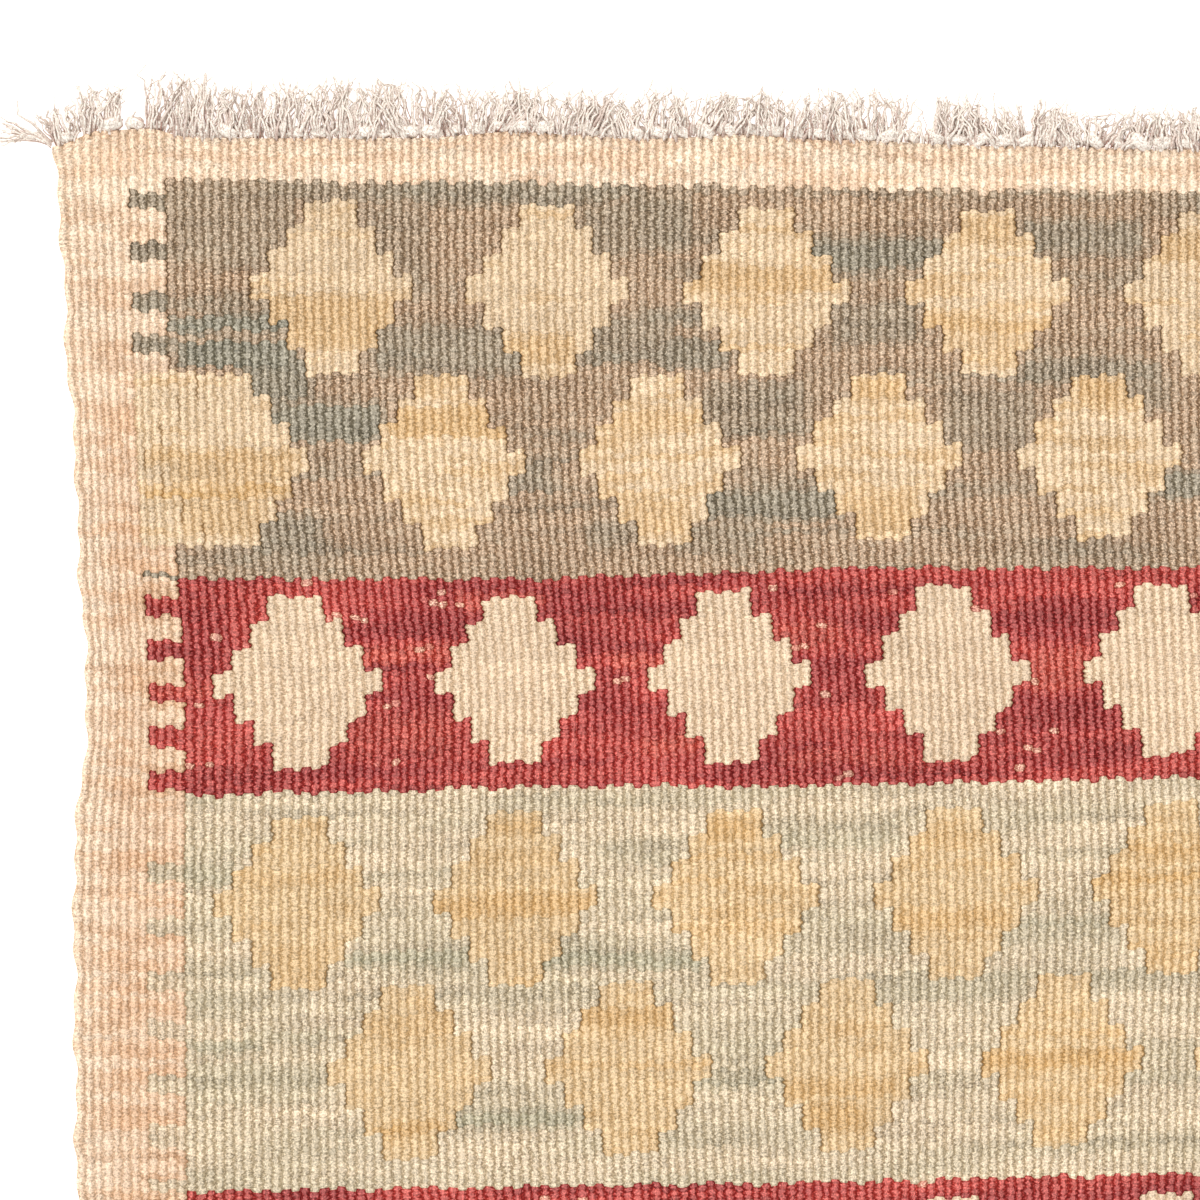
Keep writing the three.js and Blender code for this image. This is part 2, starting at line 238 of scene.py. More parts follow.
# Streaks of another dye lot, where the weaver changed yarn: each is its first and last warp,
# first and last bump, and strength. They come again in the rug's other repeats, some warps further on
STREAK_COLUMNS = "warp last_warp bump last_bump strength"
STREAKS = {
    "teal": [
        (12, 25.5, 28.8, 31.4, 1),
        (13, 26, 32.8, 37, 1),
        (20, 27.5, 36, 42.5, 0.8),
        (22.5, 35.5, 42.6, 48.8, 0.9),
        (12, 26, 7.5, 20.5, 0.35),
        (17, 23, 16.5, 21.5, 0.4),
        (22, 64, 7, 10, 0.5),
        (33, 41, 11, 24, 0.3),
        (34.5, 52, 30, 37.5, 0.6),
        (58, 68, 27, 36, 0.5),
        (64, 72, 26.5, 30, 0.6),
        (66, 74, 32, 37, 0.6),
        (57.5, 63.5, 10.5, 18.5, 0.45),
        (63, 70, 8.5, 17.5, 0.5),
        (82.5, 98, 15, 20, 0.8),
        (85, 94.5, 26, 32.5, 0.5),
        (105.5, 119, 11.5, 17.5, 0.6),
        (71, 82, 39, 48, 0.45),
        (70, 86, 58, 62.5, 0.8),
        (67, 77, 63, 68, 0.4),
        (97, 107, 40.5, 51, 0.4),
        (105, 121, 35.5, 39, 0.6),
        (116.5, 122, 38.5, 44, 0.45),
        (119, 131, 54, 59, 0.8),
        (20, 28, 60.5, 66.5, 0.6),
        (57, 63, 61.5, 66.5, 0.45),
        (48, 54, 52, 57, 0.55),
    ],
    "reed": [
        (8, 17.5, 117, 120.8, 0.7),
        (29, 43, 132, 134.8, 1),
        (30.5, 42, 127.5, 134, 0.3),
        (49.8, 68.4, 133, 135.8, 1),
        (52, 66.5, 129.5, 135, 0.3),
        (12.2, 20, 146.2, 148.4, 0.8),
        (18, 27, 144.6, 146.8, 0.6),
        (13, 25, 138, 143.5, 0.3),
        (12, 26, 149.5, 157, 0.3),
        (40, 54.5, 158.6, 161.2, 0.9),
        (42, 53, 154, 160.5, 0.3),
        (74.5, 90, 111.5, 115.8, 0.4),
        (75, 91, 126.5, 134, 0.4),
        (99, 114, 128.5, 132.5, 0.55),
        (86.5, 104, 136, 142, 0.35),
        (110, 130, 137, 141, 0.4),
        (66.5, 76.5, 141.5, 154, 0.25),
        (66.5, 76.5, 153.5, 155.6, 0.6),
        (63.5, 80.5, 160.5, 165, 0.4),
        (114.8, 130, 153.8, 155.8, 0.6),
        (57, 66, 116, 118.5, 0.45),
        (7.8, 20, 133.2, 136, 0.4),
    ],
    "ochre": [
        (21, 37, 25.5, 33.5, 0.6),
        (9, 26, 50.5, 52.5, 0.7),
        (12, 25.5, 52, 56, 0.5),
        (8.5, 25, 56, 58, 0.9),
        (13, 22, 58, 64.5, 0.5),
        (49, 57, 31.5, 36.5, 0.6),
        (69.5, 86, 19.5, 24.5, 0.65),
        (98.5, 106, 11, 16, 0.55),
        (94, 110, 28, 31, 0.75),
        (95, 107, 31, 36, 0.35),
        (120, 128, 14, 19.5, 0.6),
        (35.5, 49.5, 43, 48, 0.75),
        (59.5, 71.5, 43.5, 47, 0.55),
        (62, 69, 58.5, 65, 0.55),
        (87, 93, 38.5, 42.5, 0.7),
        (85, 94, 58, 65.5, 0.6),
        (111.5, 117, 38.5, 43.5, 0.75),
        (18, 29.5, 118.7, 121, 0.5),
        (21, 27.5, 131, 138.5, 0.35),
        (45.5, 52.5, 111.3, 113.3, 0.7),
        (42.5, 53.5, 116, 118.5, 0.4),
        (38.5, 56.5, 123.3, 126.8, 0.8),
        (68.5, 74.5, 110.5, 115, 0.8),
        (89, 102, 126.5, 130, 0.7),
        (111.5, 130, 116.5, 118.5, 0.9),
        (110, 130, 121.5, 123.5, 0.9),
        (31, 41, 142.8, 146.5, 0.4),
        (32, 40, 160.6, 162.4, 1),
        (54.5, 64.5, 142, 145.3, 0.8),
        (76.2, 89.3, 154, 157, 0.7),
        (79.3, 86.5, 158, 162.8, 0.8),
        (98.2, 116.5, 150.3, 153, 0.9),
    ],
    "flame": [
        (30, 42, 82.5, 85, 0.8),
        (12, 21, 95, 98.5, 0.2),
        (29, 41, 94, 100, 0.4),
        (59, 66, 84, 86.5, 0.8),
        (62, 69, 97.5, 100.5, 0.7),
        (76, 85, 79.5, 83, 0.6),
        (105, 112, 84, 91, 0.7),
        (77, 90, 100.5, 102.5, 0.5),
        (42, 52, 73, 75.5, 0.7),
        (8, 18, 88, 90.5, 0.6),
    ],
    "crimson": [
        (30, 42, 75.5, 81, 0.8),
        (12, 17, 76, 82, 0.7),
        (34, 41, 88, 93, 0.7),
        (80, 88, 86, 93, 0.7),
        (104, 115, 76, 83, 0.8),
        (104, 114, 92, 98, 0.7),
        (53, 61, 86, 94, 0.7),
    ],
}
SHARED_STREAKS = (("teal", "crimson", "reed"), ("ochre", "flame"))
STREAK_REPEAT_WARPS = 120
STREAK_SHIFT_WARPS = 48
STREAK_MARGIN = 0.8
STREAK_FADE_WARPS = 1.6
TRACK_BUMPS = REPEAT_BUMPS + 2 * END_BUMPS

# Unevenness of the weave: how far a rib's sides, the weft lines, a bump's edge and a streak's ends wander
WANDER_WARPS = 0.5
BEAT_BUMPS = 1.2
FRAY_WARPS = 0.45
RAGGED_BUMPS = 1.6

# Noises over the flat cloth: turns to a warp and to a bump, where each starts, and how fine it is
CLOTH_NOISES = named_table(
    "across down start detail rough",
    {
        "wander": (0.9, 0.6, 0, 0.0, 0.5),
        "beat": (0.3, 0.3, 50, 0.0, 0.5),
        "fibre": (4.2, 3.0, 0, 1.0, 0.8),
        "run": (0.03, 0.22, 0, 2.0, 0.65),
        "pass": (0.05, 1.7, 40, 0.0, 0.5),
        "patch": (0.09, 0.5, 90, 1.0, 0.5),
        "ragged": (0.12, 0.1, 20, 0.0, 0.5),
    },
)

# Eased rises of a mask: nothing up to the low reading, and the top share from the high reading on
RISES = named_table(
    "low high top",
    {
        "bump side": (-0.03, 0.38, 1.0),
        "slit side": (0.04, 0.16, 1.0),
        "teal lot": (0.50, 0.72, 0.4),
        "crimson lot": (0.38, 0.66, 1.0),
        "moss lot": (0.34, 0.72, 1.0),
        "ochre patch": (0.60, 0.80, 0.5),
        "peach down": (3, 60, 1.0),
        "peach across": (1.5, 5.5, 0.35),
        "peach patch": (0.40, 0.64, 0.45),
        "slub patch": (0.69, 0.72, 1.0),
        "glint": (0.08, 0.3, 0.4),
        "shaded strand": (0.35, 1.1, 1.0),
        "strand side shade": (0.45, 1.15, 0.75),
        "strand crease": (0.0, 0.05, 1.0),
        "strand hollow": (0.3, 0.65, 1.0),
        "strand root": (-0.12, 0.12, 1.0),
    },
)

# Light and dark of the wool from place to place, as random tone and painted valley shade: everywhere, and
# how much more in the grounds
TONES = named_table(
    "all ground",
    {
        "pass": (0.22, 0.14),
        "patch": (0.0, 0.34),
        "bump": (0.17, 0.0),
        "fibre": (1.3, 0.4),
        # Depth of the painted shade in the valleys between ribs and bumps
        "valley": (0.38, 0.36),
    },
)
DIAMOND_TONE = 0.08
# Painted shade in the slits, the patchy change of the painted valley shade, and how much fainter slits,
# painted shade, fibre tone and glints are in the sage bands
SLIT_SHADE_DEPTH = 0.7
RAGGED_SHADE_DEPTH = 0.4
SAGE_SOFTNESS = 0.6

# Shares of another yarn: from bump to bump, in the teeth, in the selvedges and from diamond to diamond
MINGLED_TEAL = 0.5
TOOTH_TEAL = 0.6
LEAST_PEACH = 0.08
DIAMOND_OCHRE = 0.16

# Pale slubs in the red yarn: above which throw of the dice, and how much of the ivory yarn
SLUB_DICE = 0.66
SLUB_IVORY = 0.40

# A bump of weft: the dip towards its ends. A rib: the power that makes it round
BUMP_DIP = 0.16
RIB_ROUNDNESS = 2.4

# Pale fuzz and a painted highlight on the crests of spun wool, and painted shade in its valleys, which
# deepens and darkens the colour
FUZZ_HIGHLIGHT = (1.0, 0.95, 0.9)
FUZZ_HIGHLIGHT_SHARE = 0.07
VALLEY_GAMMA = 0.45
VALLEY_SHADE = 0.38

# The yarn wrapped round a knot, before it is scaled: its points, sides and turns, and its line's size
WRAP_POINTS = 11
WRAP_SIDES = 6
WRAP_TURNS = 2.6
WRAP_RADIUS = 1.0
WRAP_END_RADIUS = 0.9
WRAP_HEIGHT = 1.5
WRAP_YARN = 0.62
WRAP_TAPER = 0.72
WRAP_ACROSS = 2 * (WRAP_RADIUS + WRAP_YARN)
WRAP_LENGTH = WRAP_HEIGHT + 2 * WRAP_YARN

# What differs from knot to knot and from strand to strand: its least, its most, and which draw it is
DRAWS = named_table(
    "low high turn",
    {
        "size": (0.80, 1.15, 2),
        "tilt": (-0.1, 0.1, 3),
        "twist": (-0.45, 0.45, 4),
        "aside": (-0.5, 0.5, 5),
        "spread": (-0.2, 0.2, 6),
        "tone": (0.0, 1.0, 7),
        "rest": (0.15, 0.55, 8),
        "lift": (0.45, 1.15, 9),
        "yarn": (0.8, 1.15, 10),
        "start": (-0.62, 0.05, 11),
        "reach": (0.78, 1.10, 12),
    },
)

# Noises of the undyed yarn, in turns to a metre: lumps of the knots, tufts, crimp, hollows and creases,
# the last two for painted shade
LUMPS = 700.0
TUFTS = 280.0
CRIMPS = 460.0
HOLLOWS = 1700.0
CREASES = 900.0

# Knots: how far lumps go aside and how low they lie, in mm, and where a knot sits, in knot lengths
LUMP_ASIDE = 1.2
KNOT_FLOOR = 0.02
KNOT_OUT = 0.36
KNOT_OUT_SPREAD = 0.04
KNOT_INSIDE = 0.1

# Strands: points and sides of each, how they fan out, how much lower and thinner the dark ones and the
# tips are, and how their reach varies by tuft
STRAND_POINTS = 9
STRAND_SIDES = 4
FAN_TURN = 0.5
DARK_DROP = 0.2
DARK_THINNING = 0.55
TIP_THINNING = 0.5
LEAST_TUFT = 0.80
TUFT_REACH = 0.5

# Crimp of the strands: its growth towards the tips, how much more goes aside, and how unlike two are
CRIMP_POWER = 0.9
CRIMP_ASIDE = 1.6
CRIMP_APART = 0.0025

# Their way down: how they sink, the least share of the height they rest at, and the gap below, in radii
SINK_POWER = 1.5
LEAST_REST = 0.3
FLOOR_GAP = 1.3

# Painted shade on the undyed yarn: in its creases, at the rough edges of its sides that face away from
# up, and less of it towards the tips; its random tone, and the depth of painted shade in its hollows
CREASE_SHADE = 0.6
SIDE_SHADE_WANDER = 2.6
DARK_FADE = 0.5
TIP_FADE = 0.35
STRAND_TONE = 0.3
STRAND_SHADE_DEPTH = 0.6

# Lean of the knots in radians, in waves along the row, and what a bald spot and a stray have less of
LEAN_WAVES = table(
    "turn rate start",
    (0.20, 0.71, 0),
    (0.16, 1.9, 2),
)
LEAN_SPREAD = 0.16
BALD_LEAN = 0.3
BALD_KNOTS = 1.6
BALD = {"size": 0.9, "reach": 0.4, "strands": 3}
STRAY = {"size": 0.3, "strands": 7}
STRANDS_SPREAD = 4

# Floor: its reach in metres, how far it lies under the rug in mm, its two whites and its grain
FLOOR_REACH = 4.0
FLOOR_DROP = 0.2
FLOOR_WHITES = (0.93, 0.95)
FLOOR_GRAIN = 40.0

# The lamp's turn in degrees, the width of the film in mm, and how far the camera sees in metres
LAMP_TURN = (-38, -30, 0)
SENSOR = 36
CAMERA_SIGHT = 100

# Picture: pixels across it and to a warp, and where the head end's left corner lies in it
PICTURE_PIXELS = 1200
PIXELS_PER_WARP = 9.0
CORNER_PIXEL = (75, 142)


def linear(*screen):
    """Scene-linear colour of an 8-bit screen colour."""
    shares = [channel / 255 for channel in screen]
    return tuple(c / 12.92 if c <= 0.04045 else ((c + 0.055) / 1.055) ** 2.4 for c in shares)


def yarn_property(name, description, screen):
    """A colour that a user may change."""
    return bpy.props.FloatVectorProperty(
        name=name,
        description=description,
        default=linear(*screen),
        size=3,
        min=0,
        max=1,
        subtype="COLOR",
    )


def length_property(name, description, millimetres):
    """A length that a user may change."""
    return bpy.props.FloatProperty(
        name=name,
        description=description,
        default=millimetres * MM,
        min=0,
        subtype="DISTANCE",
        unit="LENGTH",
        precision=5,
    )


def count_property(name, description, default):
    """A whole number that a user may change."""
    return bpy.props.IntProperty(name=name, description=description, default=default, min=1)


def share_property(name, description, default):
    """A share or strength that a user may change."""
    return bpy.props.FloatProperty(name=name, description=description, default=default, min=0)


class KilimWeave(bpy.types.PropertyGroup):
    """Sizes of the woven cloth."""

    warp_pitch: length_property("Warp pitch", "Width of one rib of the weave", 2.5)
    bump_pitch: length_property("Bump pitch", "Length of one weft bump along a rib", 1.7)
    crest: length_property("Crest", "Height of the ribs over the floor", 2.65)
    valley: length_property("Valley", "Height of the valleys between ribs over the floor", 2.0)
    under_valley: length_property("Under valley", "Height of the valleys of the underside", 0.4)
    selvedge_crest: length_property("Selvedge crest", "Height of the outermost ribs", 2.9)
    selvedge_line: length_property("Selvedge line", "Height of the outermost edge of the selvedges", 1.25)
    bump_relief: length_property("Bump relief", "Depth of the weft bumps", 0.35)
    zigzag: share_property("Zigzag", "How far each bump bulges into the ribs beside it, in warps", 0.08)


class KilimYarns(bpy.types.PropertyGroup):
    """Dyed yarns of the cloth and the undyed warp yarn."""

    border: yarn_property("Border", "Plain selvedges and end bands", (238, 213, 186))
    peach: yarn_property("Peach", "Redder lot in the selvedges", (214, 171, 133))
    taupe: yarn_property("Taupe", "Ground of the grey-brown bands", (184, 155, 126))
    teal: yarn_property("Teal", "Blue-green lot in the grey-brown bands", (147, 140, 121))
    straw: yarn_property("Straw", "Diamonds of the grey-brown bands", (222, 195, 160))
    brick: yarn_property("Brick", "Ground of the red bands", (189, 76, 66))
    crimson: yarn_property("Crimson", "Darker lot in the red bands", (159, 51, 48))
    flame: yarn_property("Flame", "Orange lot in the red bands", (196, 91, 73))
    ivory: yarn_property("Ivory", "Diamonds of the red bands", (222, 195, 164))
    sage: yarn_property("Sage", "Ground of the sage bands", (217, 196, 166))
    moss: yarn_property("Moss", "Greener lot in the sage bands", (200, 184, 155))
    reed: yarn_property("Reed", "Blue-green lot in the sage bands", (176, 167, 140))
    honey: yarn_property("Honey", "Diamonds of the sage bands", (217, 187, 144))
    ochre: yarn_property("Ochre", "Yellow lot in the diamonds", (205, 165, 109))
    warp_yarn: yarn_property("Warp yarn", "Undyed yarn of the knots and frayed ends", (253, 245, 233))
    # Colour of the darker strands, and of the painted shade on the undyed yarn's sides and in its creases
    warp_shade: yarn_property("Warp shade", "Darker strands of the frayed ends", (160, 104, 84))


class KilimFringe(bpy.types.PropertyGroup):
    """Knots and frayed ends."""

    strands: count_property("Strands", "Strands to a knot", 24)
    strand_radius: length_property("Strand radius", "Radius of one strand at its root", 0.46)
    knot_width: length_property("Knot width", "Width of a knot across the warps", 6.3)
    knot_length: length_property("Knot length", "Length of a knot along the warps", 4.8)
    knot_height: length_property("Knot height", "Height of a knot over the floor", 3.4)
    curl: length_property("Curl", "How far the strands wander from straight", 3.0)
    seed: count_property("Seed", "Seed of the strands' variety", 7)


class KilimStage(bpy.types.PropertyGroup):
    """Floor, light and camera."""

    camera_height: length_property("Camera height", "Height of the camera over the rug", 1600)
    sky: share_property("Sky", "Strength of the soft light from all round", 1.0)
    lamp: share_property("Lamp", "Strength of the broad lamp", 1.55)
    glow: share_property("Glow", "Light that the white floor gives off", 0.8)
    lamp_softness: bpy.props.FloatProperty(
        name="Lamp softness",
        description="Angle that the broad lamp fills in the sky",
        default=math.radians(40),
        subtype="ANGLE",
        unit="ROTATION",
    )


class Value:
    """A number in a node tree: reckoning with it adds Math nodes to the tree."""

    def __init__(self, net, socket):
        self.net = net
        self.socket = socket

    def __add__(self, other):
        return self.net.math("ADD", self, other)

    def __radd__(self, other):
        return self.net.math("ADD", other, self)

    def __sub__(self, other):
        return self.net.math("SUBTRACT", self, other)

    def __rsub__(self, other):
        return self.net.math("SUBTRACT", other, self)

    def __mul__(self, other):
        return self.net.math("MULTIPLY", self, other)

    def __rmul__(self, other):
        return self.net.math("MULTIPLY", other, self)

    def __truediv__(self, other):
        return self.net.math("DIVIDE", self, other)

    def __mod__(self, other):
        return self.net.math("FLOORED_MODULO", self, other)

    def __pow__(self, other):
        return self.net.math("POWER", self, other)

    def __gt__(self, other):
        return self.net.math("GREATER_THAN", self, other)

    def __lt__(self, other):
        return self.net.math("LESS_THAN", self, other)

    def __abs__(self):
        return self.net.math("ABSOLUTE", self)


class Net:
    """Wires a node tree, one call to a node."""

    def __init__(self, tree):
        self.tree = tree
        self.given = {}

    def node(self, kind, **settings):
        node = self.tree.nodes.new(kind)
        for name, value in settings.items():
            setattr(node, name, value)
        return node

    def feed(self, socket, value):
        """Links or sets an input; a colour that comes without its alpha is opaque."""
        if isinstance(value, Value):
            value = value.socket
        if isinstance(value, bpy.types.NodeSocket):
            self.tree.links.new(value, socket)
        elif socket.type == "RGBA" and len(value) == 3:
            socket.default_value = (*value, 1.0)
        else:
            socket.default_value = value

    def put(self, node, values, output=0):
        """Feeds a node's inputs by name or number and gives one of its outputs."""
        for name, value in values.items():
            self.feed(node.inputs[name], value)
        return Value(self, node.outputs[output])

    def add(self, kind, values, output=0, **settings):
        """Makes a node with its settings, feeds it and gives one of its outputs."""
        return self.put(self.node(kind, **settings), values, output)

    def math(self, operation, *values, clamp=False):
        return self.add("ShaderNodeMath", dict(enumerate(values)), operation=operation, use_clamp=clamp)

    def floor(self, value):
        return self.math("FLOOR", value)

    def clamp(self, value):
        return self.math("MULTIPLY", value, 1.0, clamp=True)

    def vector(self, x, y, z=0.0):
        return self.add("ShaderNodeCombineXYZ", {0: x, 1: y, 2: z})

    def parts(self, vector):
        """The three numbers of a vector or colour."""
        node = self.node("ShaderNodeSeparateXYZ")
        self.feed(node.inputs[0], vector)
        return [Value(self, output) for output in node.outputs]

    def noise(self, vector, scale, detail=0.0, rough=0.5, output="Fac", dimensions="3D"):
        values = {"Vector": vector, "Scale": scale, "Detail": detail, "Roughness": rough}
        return self.add("ShaderNodeTexNoise", values, output, noise_dimensions=dimensions)

    def dice(self, vector):
        """A different number for each whole-numbered place."""
        return self.add("ShaderNodeTexWhiteNoise", {"Vector": vector}, "Value", noise_dimensions="2D")

    def ramp(self, value, low, high, top=1.0):
        """Eased rise from 0 at the low value to the top at the high one."""
        values = {"Value": value, "From Min": low, "From Max": high, "To Max": top}
        return self.add("ShaderNodeMapRange", values, interpolation_type="SMOOTHSTEP")

    def mix(self, share, first, second):
        """Colour between two colours."""
        return self.add("ShaderNodeMix", {0: share, 6: first, 7: second}, 2, data_type="RGBA")

    def use(self, group, **values):
        """Places a shader group and gives its outputs by name."""
        node = self.node("ShaderNodeGroup", node_tree=group)
        self.put(node, values)
        return {output.name: Value(self, output) for output in node.outputs}

    def surface(self, looks):
        """Ends a material in its shader, whose inputs are fed by name."""
        shader = self.add("ShaderNodeBsdfPrincipled", looks)
        self.feed(self.node("ShaderNodeOutputMaterial").inputs["Surface"], shader)

    def place(self):
        """X, Y and Z of each point of a shape."""
        return self.parts(self.add("GeometryNodeInputPosition", {}))

    def held(self, name, data_type="FLOAT"):
        """A number that each point of a shape carries by name."""
        return self.add("GeometryNodeInputNamedAttribute", {"Name": name}, data_type=data_type)

    def stored(self, shape, name, value):
        """A shape whose points carry a number by name."""
        values = {"Geometry": shape, "Name": name, "Value": value}
        return self.add("GeometryNodeStoreNamedAttribute", values, data_type="FLOAT")

    def moved(self, shape, **where):
        """A shape with its points moved to a Position or by an Offset."""
        return self.add("GeometryNodeSetPosition", {"Geometry": shape, **where})

    def realized(self, shape):
        """A shape with its instances made real."""
        return self.add("GeometryNodeRealizeInstances", {"Geometry": shape})

    def finished(self, shape):
        """A shape shaded smooth, made real and given the tree's Finish."""
        real = self.realized(self.add("GeometryNodeSetShadeSmooth", {"Geometry": shape}))
        return self.add("GeometryNodeSetMaterial", {"Geometry": real, "Material": self.given["Finish"]})

    def drawn(self, name):
        """A random number for each point, from the table of draws."""
        row = DRAWS[name]
        values = {2: row["low"], 3: row["high"], 8: self.given["Seed"] + row["turn"]}
        return self.add("FunctionNodeRandomValue", values, 1, data_type="FLOAT")

    def finish(self, **results):
        """Gives the tree its outputs."""
        ends = self.node("NodeGroupOutput")
        for name, value in results.items():
            self.feed(ends.inputs[name], value)
        return self.tree


NUMBER = "NodeSocketFloat"
WHOLE = "NodeSocketInt"
COLOUR = "NodeSocketColor"
SHAPE = "NodeSocketGeometry"
FINISH = "NodeSocketMaterial"

# Sizes that the Geometry Nodes trees take in, each under the name of its setting
RIB_SIZES = ("Crest", "Valley", "Under Valley", "Selvedge Crest", "Selvedge Line")
FRINGE_SIZES = ("Strand Radius", "Knot Width", "Knot Length", "Knot Height", "Curl")


def new_group(name, kind, inputs, outputs):
    """An empty node group whose named sockets are given with their kinds."""
    tree = bpy.data.node_groups.new(name, kind)
    for title, sort in inputs.items():
        tree.interface.new_socket(name=title, in_out="INPUT", socket_type=sort)
    for title, sort in outputs.items():
        tree.interface.new_socket(name=title, in_out="OUTPUT", socket_type=sort)
    net = Net(tree)
    starts = net.node("NodeGroupInput")
    net.given = {title: Value(net, starts.outputs[title]) for title in inputs}
    return net


def along_table(rows, key, column, places):
    """Eased readings of one column of a table at places on its key column."""
    keys = np.array([row[key] for row in rows], float)
    values = np.array([row[column] for row in rows], float)
    after = np.clip(np.searchsorted(keys, places), 1, len(keys) - 1)
    share = np.clip((places - keys[after - 1]) / (keys[after] - keys[after - 1]), 0, 1)
    share = share * share * (3 - 2 * share)
    return values[after - 1] + share * (values[after] - values[after - 1])


def between_lines(stops, lines, places):
    """Straight readings between lines of values, each given at its own stop."""
    result = lines[0]
    for i in range(1, len(stops)):
        share = np.clip((places - stops[i - 1]) / (stops[i] - stops[i - 1]), 0, 1)
        result = result + share * (lines[i] - lines[i - 1])
    return result


class RugPlan:
    """Plan of the rug: where a warp and a bump lie on the floor, in metres."""

    def __init__(self, weave):
        self.warp_pitch = weave.warp_pitch
        self.bump_pitch = weave.bump_pitch
        self.width = WARPS * weave.warp_pitch
        self.length = CLOTH_BUMPS * weave.bump_pitch
        self.knot_warps = WARPS / KNOT_COUNT
        self.shift = np.zeros(2)
        low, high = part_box("rug_cloth")
        down = np.linspace(0, CLOTH_BUMPS, PLAN_READINGS)
        across = np.linspace(0, WARPS, PLAN_READINGS)
        lefts = self.place(0, down)[:, 0]
        rights = self.place(WARPS, down)[:, 0]
        heads = self.place(across, 0)[:, 1]
        feet = self.place(across, CLOTH_BUMPS)[:, 1]
        self.shift = np.array(
            [
                (low.x + high.x - lefts.min() - rights.max()) / 2,
                (low.y + high.y - heads.max() - feet.min()) / 2,
            ]
        )

    def lean(self, warps, bumps):
        """How far the warps lie to the right of straight."""
        down = bumps * self.bump_pitch / MM
        left = -along_table(SELVEDGE_ROWS, "down", "left", down)
        right = along_table(SELVEDGE_ROWS, "down", "right", down)
        stops = [row["bump"] for row in SWAY_ROWS]
        columns = zip(*(row["right"] for row in SWAY_ROWS))
        middle = [np.interp(bumps, stops, column) for column in columns]
        return between_lines([0, *SWAY_PLACES, WARPS], [left, *middle, right], warps) * MM

    def lift(self, warps, bumps):
        """How far the weft lines are beaten up from level."""
        knots = warps / self.knot_warps
        head = along_table(END_ROWS, "knot", "head", knots)
        foot = -along_table(END_ROWS, "knot", "foot", knots)
        middle = [np.interp(warps, WEFT_PLACES, row["up"]) for row in WEFT_ROWS]
        stops = [0, *(row["bump"] for row in WEFT_ROWS), CLOTH_BUMPS]
        return between_lines(stops, [head, *middle, foot], bumps) * MM

    def place(self, warps, bumps):
        """X and Y of places on the cloth."""
        warps, bumps = np.broadcast_arrays(np.asarray(warps, float), np.asarray(bumps, float))
        x = warps * self.warp_pitch - self.width / 2 + self.lean(warps, bumps)
        y = self.length / 2 - bumps * self.bump_pitch + self.lift(warps, bumps)
        return np.stack([x, y], axis=-1) + self.shift


def carry(mesh, name, kind, values):
    """Stores a number by name on each point of a mesh."""
    mesh.attributes.new(name, kind, "POINT").data.foreach_set("value", values)


class ClothSkin:
    """Points and faces of the flat cloth, with the weave's own coordinates at each point."""

    def __init__(self, plan):
        self.plan = plan
        self.points = []
        self.weave = []
        self.sides = []
        self.faces = []
        self.count = 0

    def grid(self, warps, bumps, side, outward=0.0):
        """A grid of points, one row to a weft line, as the indices of its points."""
        across, down = np.meshgrid(np.asarray(warps, float), np.asarray(bumps, float))
        plan = self.plan.place(across, down)
        plan[..., 0] += outward
        self.points.append(np.dstack([plan, np.zeros(across.shape)]).reshape(-1, 3))
        self.weave.append(np.dstack([across, down]).reshape(-1, 2))
        self.sides.append(np.full(across.size, side))
        indices = np.arange(self.count, self.count + across.size).reshape(across.shape)
        self.count += across.size
        return indices

    def cover(self, indices, side):
        """Four-sided faces over a grid."""
        corners = [indices[:-1, :-1], indices[1:, :-1], indices[1:, 1:], indices[:-1, 1:]]
        quads = np.stack(corners, axis=-1).reshape(-1, 4)
        self.faces.extend((quads if side == UPPER else quads[:, ::-1]).tolist())

    def stitch(self, first, first_at, second, second_at):
        """Triangles between two lines: walking along the first, the second lies on the left."""
        a = b = 0
        while a < len(first) - 1 or b < len(second) - 1:
            next_a = first_at[a + 1] if a < len(first) - 1 else math.inf
            next_b = second_at[b + 1] if b < len(second) - 1 else math.inf
            if next_a <= next_b:
                triangle = [int(first[a]), int(first[a + 1]), int(second[b])]
                a += 1
            else:
                triangle = [int(first[a]), int(second[b + 1]), int(second[b])]
                b += 1
            if len(set(triangle)) == 3:
                self.faces.append(triangle)

    def mesh(self, name):
        """The mesh, with its weave coordinates as a UV map and as numbers on its points."""
        mesh = bpy.data.meshes.new(name)
        mesh.from_pydata(np.concatenate(self.points).tolist(), [], self.faces)
        weave = np.concatenate(self.weave)
        corners = np.zeros(len(mesh.loops), int)
        mesh.loops.foreach_get("vertex_index", corners)
        mesh.uv_layers.new(name="weave").data.foreach_set("uv", weave[corners].ravel())
        carry(mesh, "warp", "FLOAT", weave[:, 0])
        carry(mesh, "side", "FLOAT", np.concatenate(self.sides))
        mesh.update()
        return mesh


def scallop(down):
    """Outward bulge of a selvedge, at a way down in millimetres."""
    waves = [np.sin(2 * np.pi * down / wave["length"] + wave["start"]) for wave in SCALLOP_WAVES]
    return SCALLOP_DEPTH * sum(waves) * MM


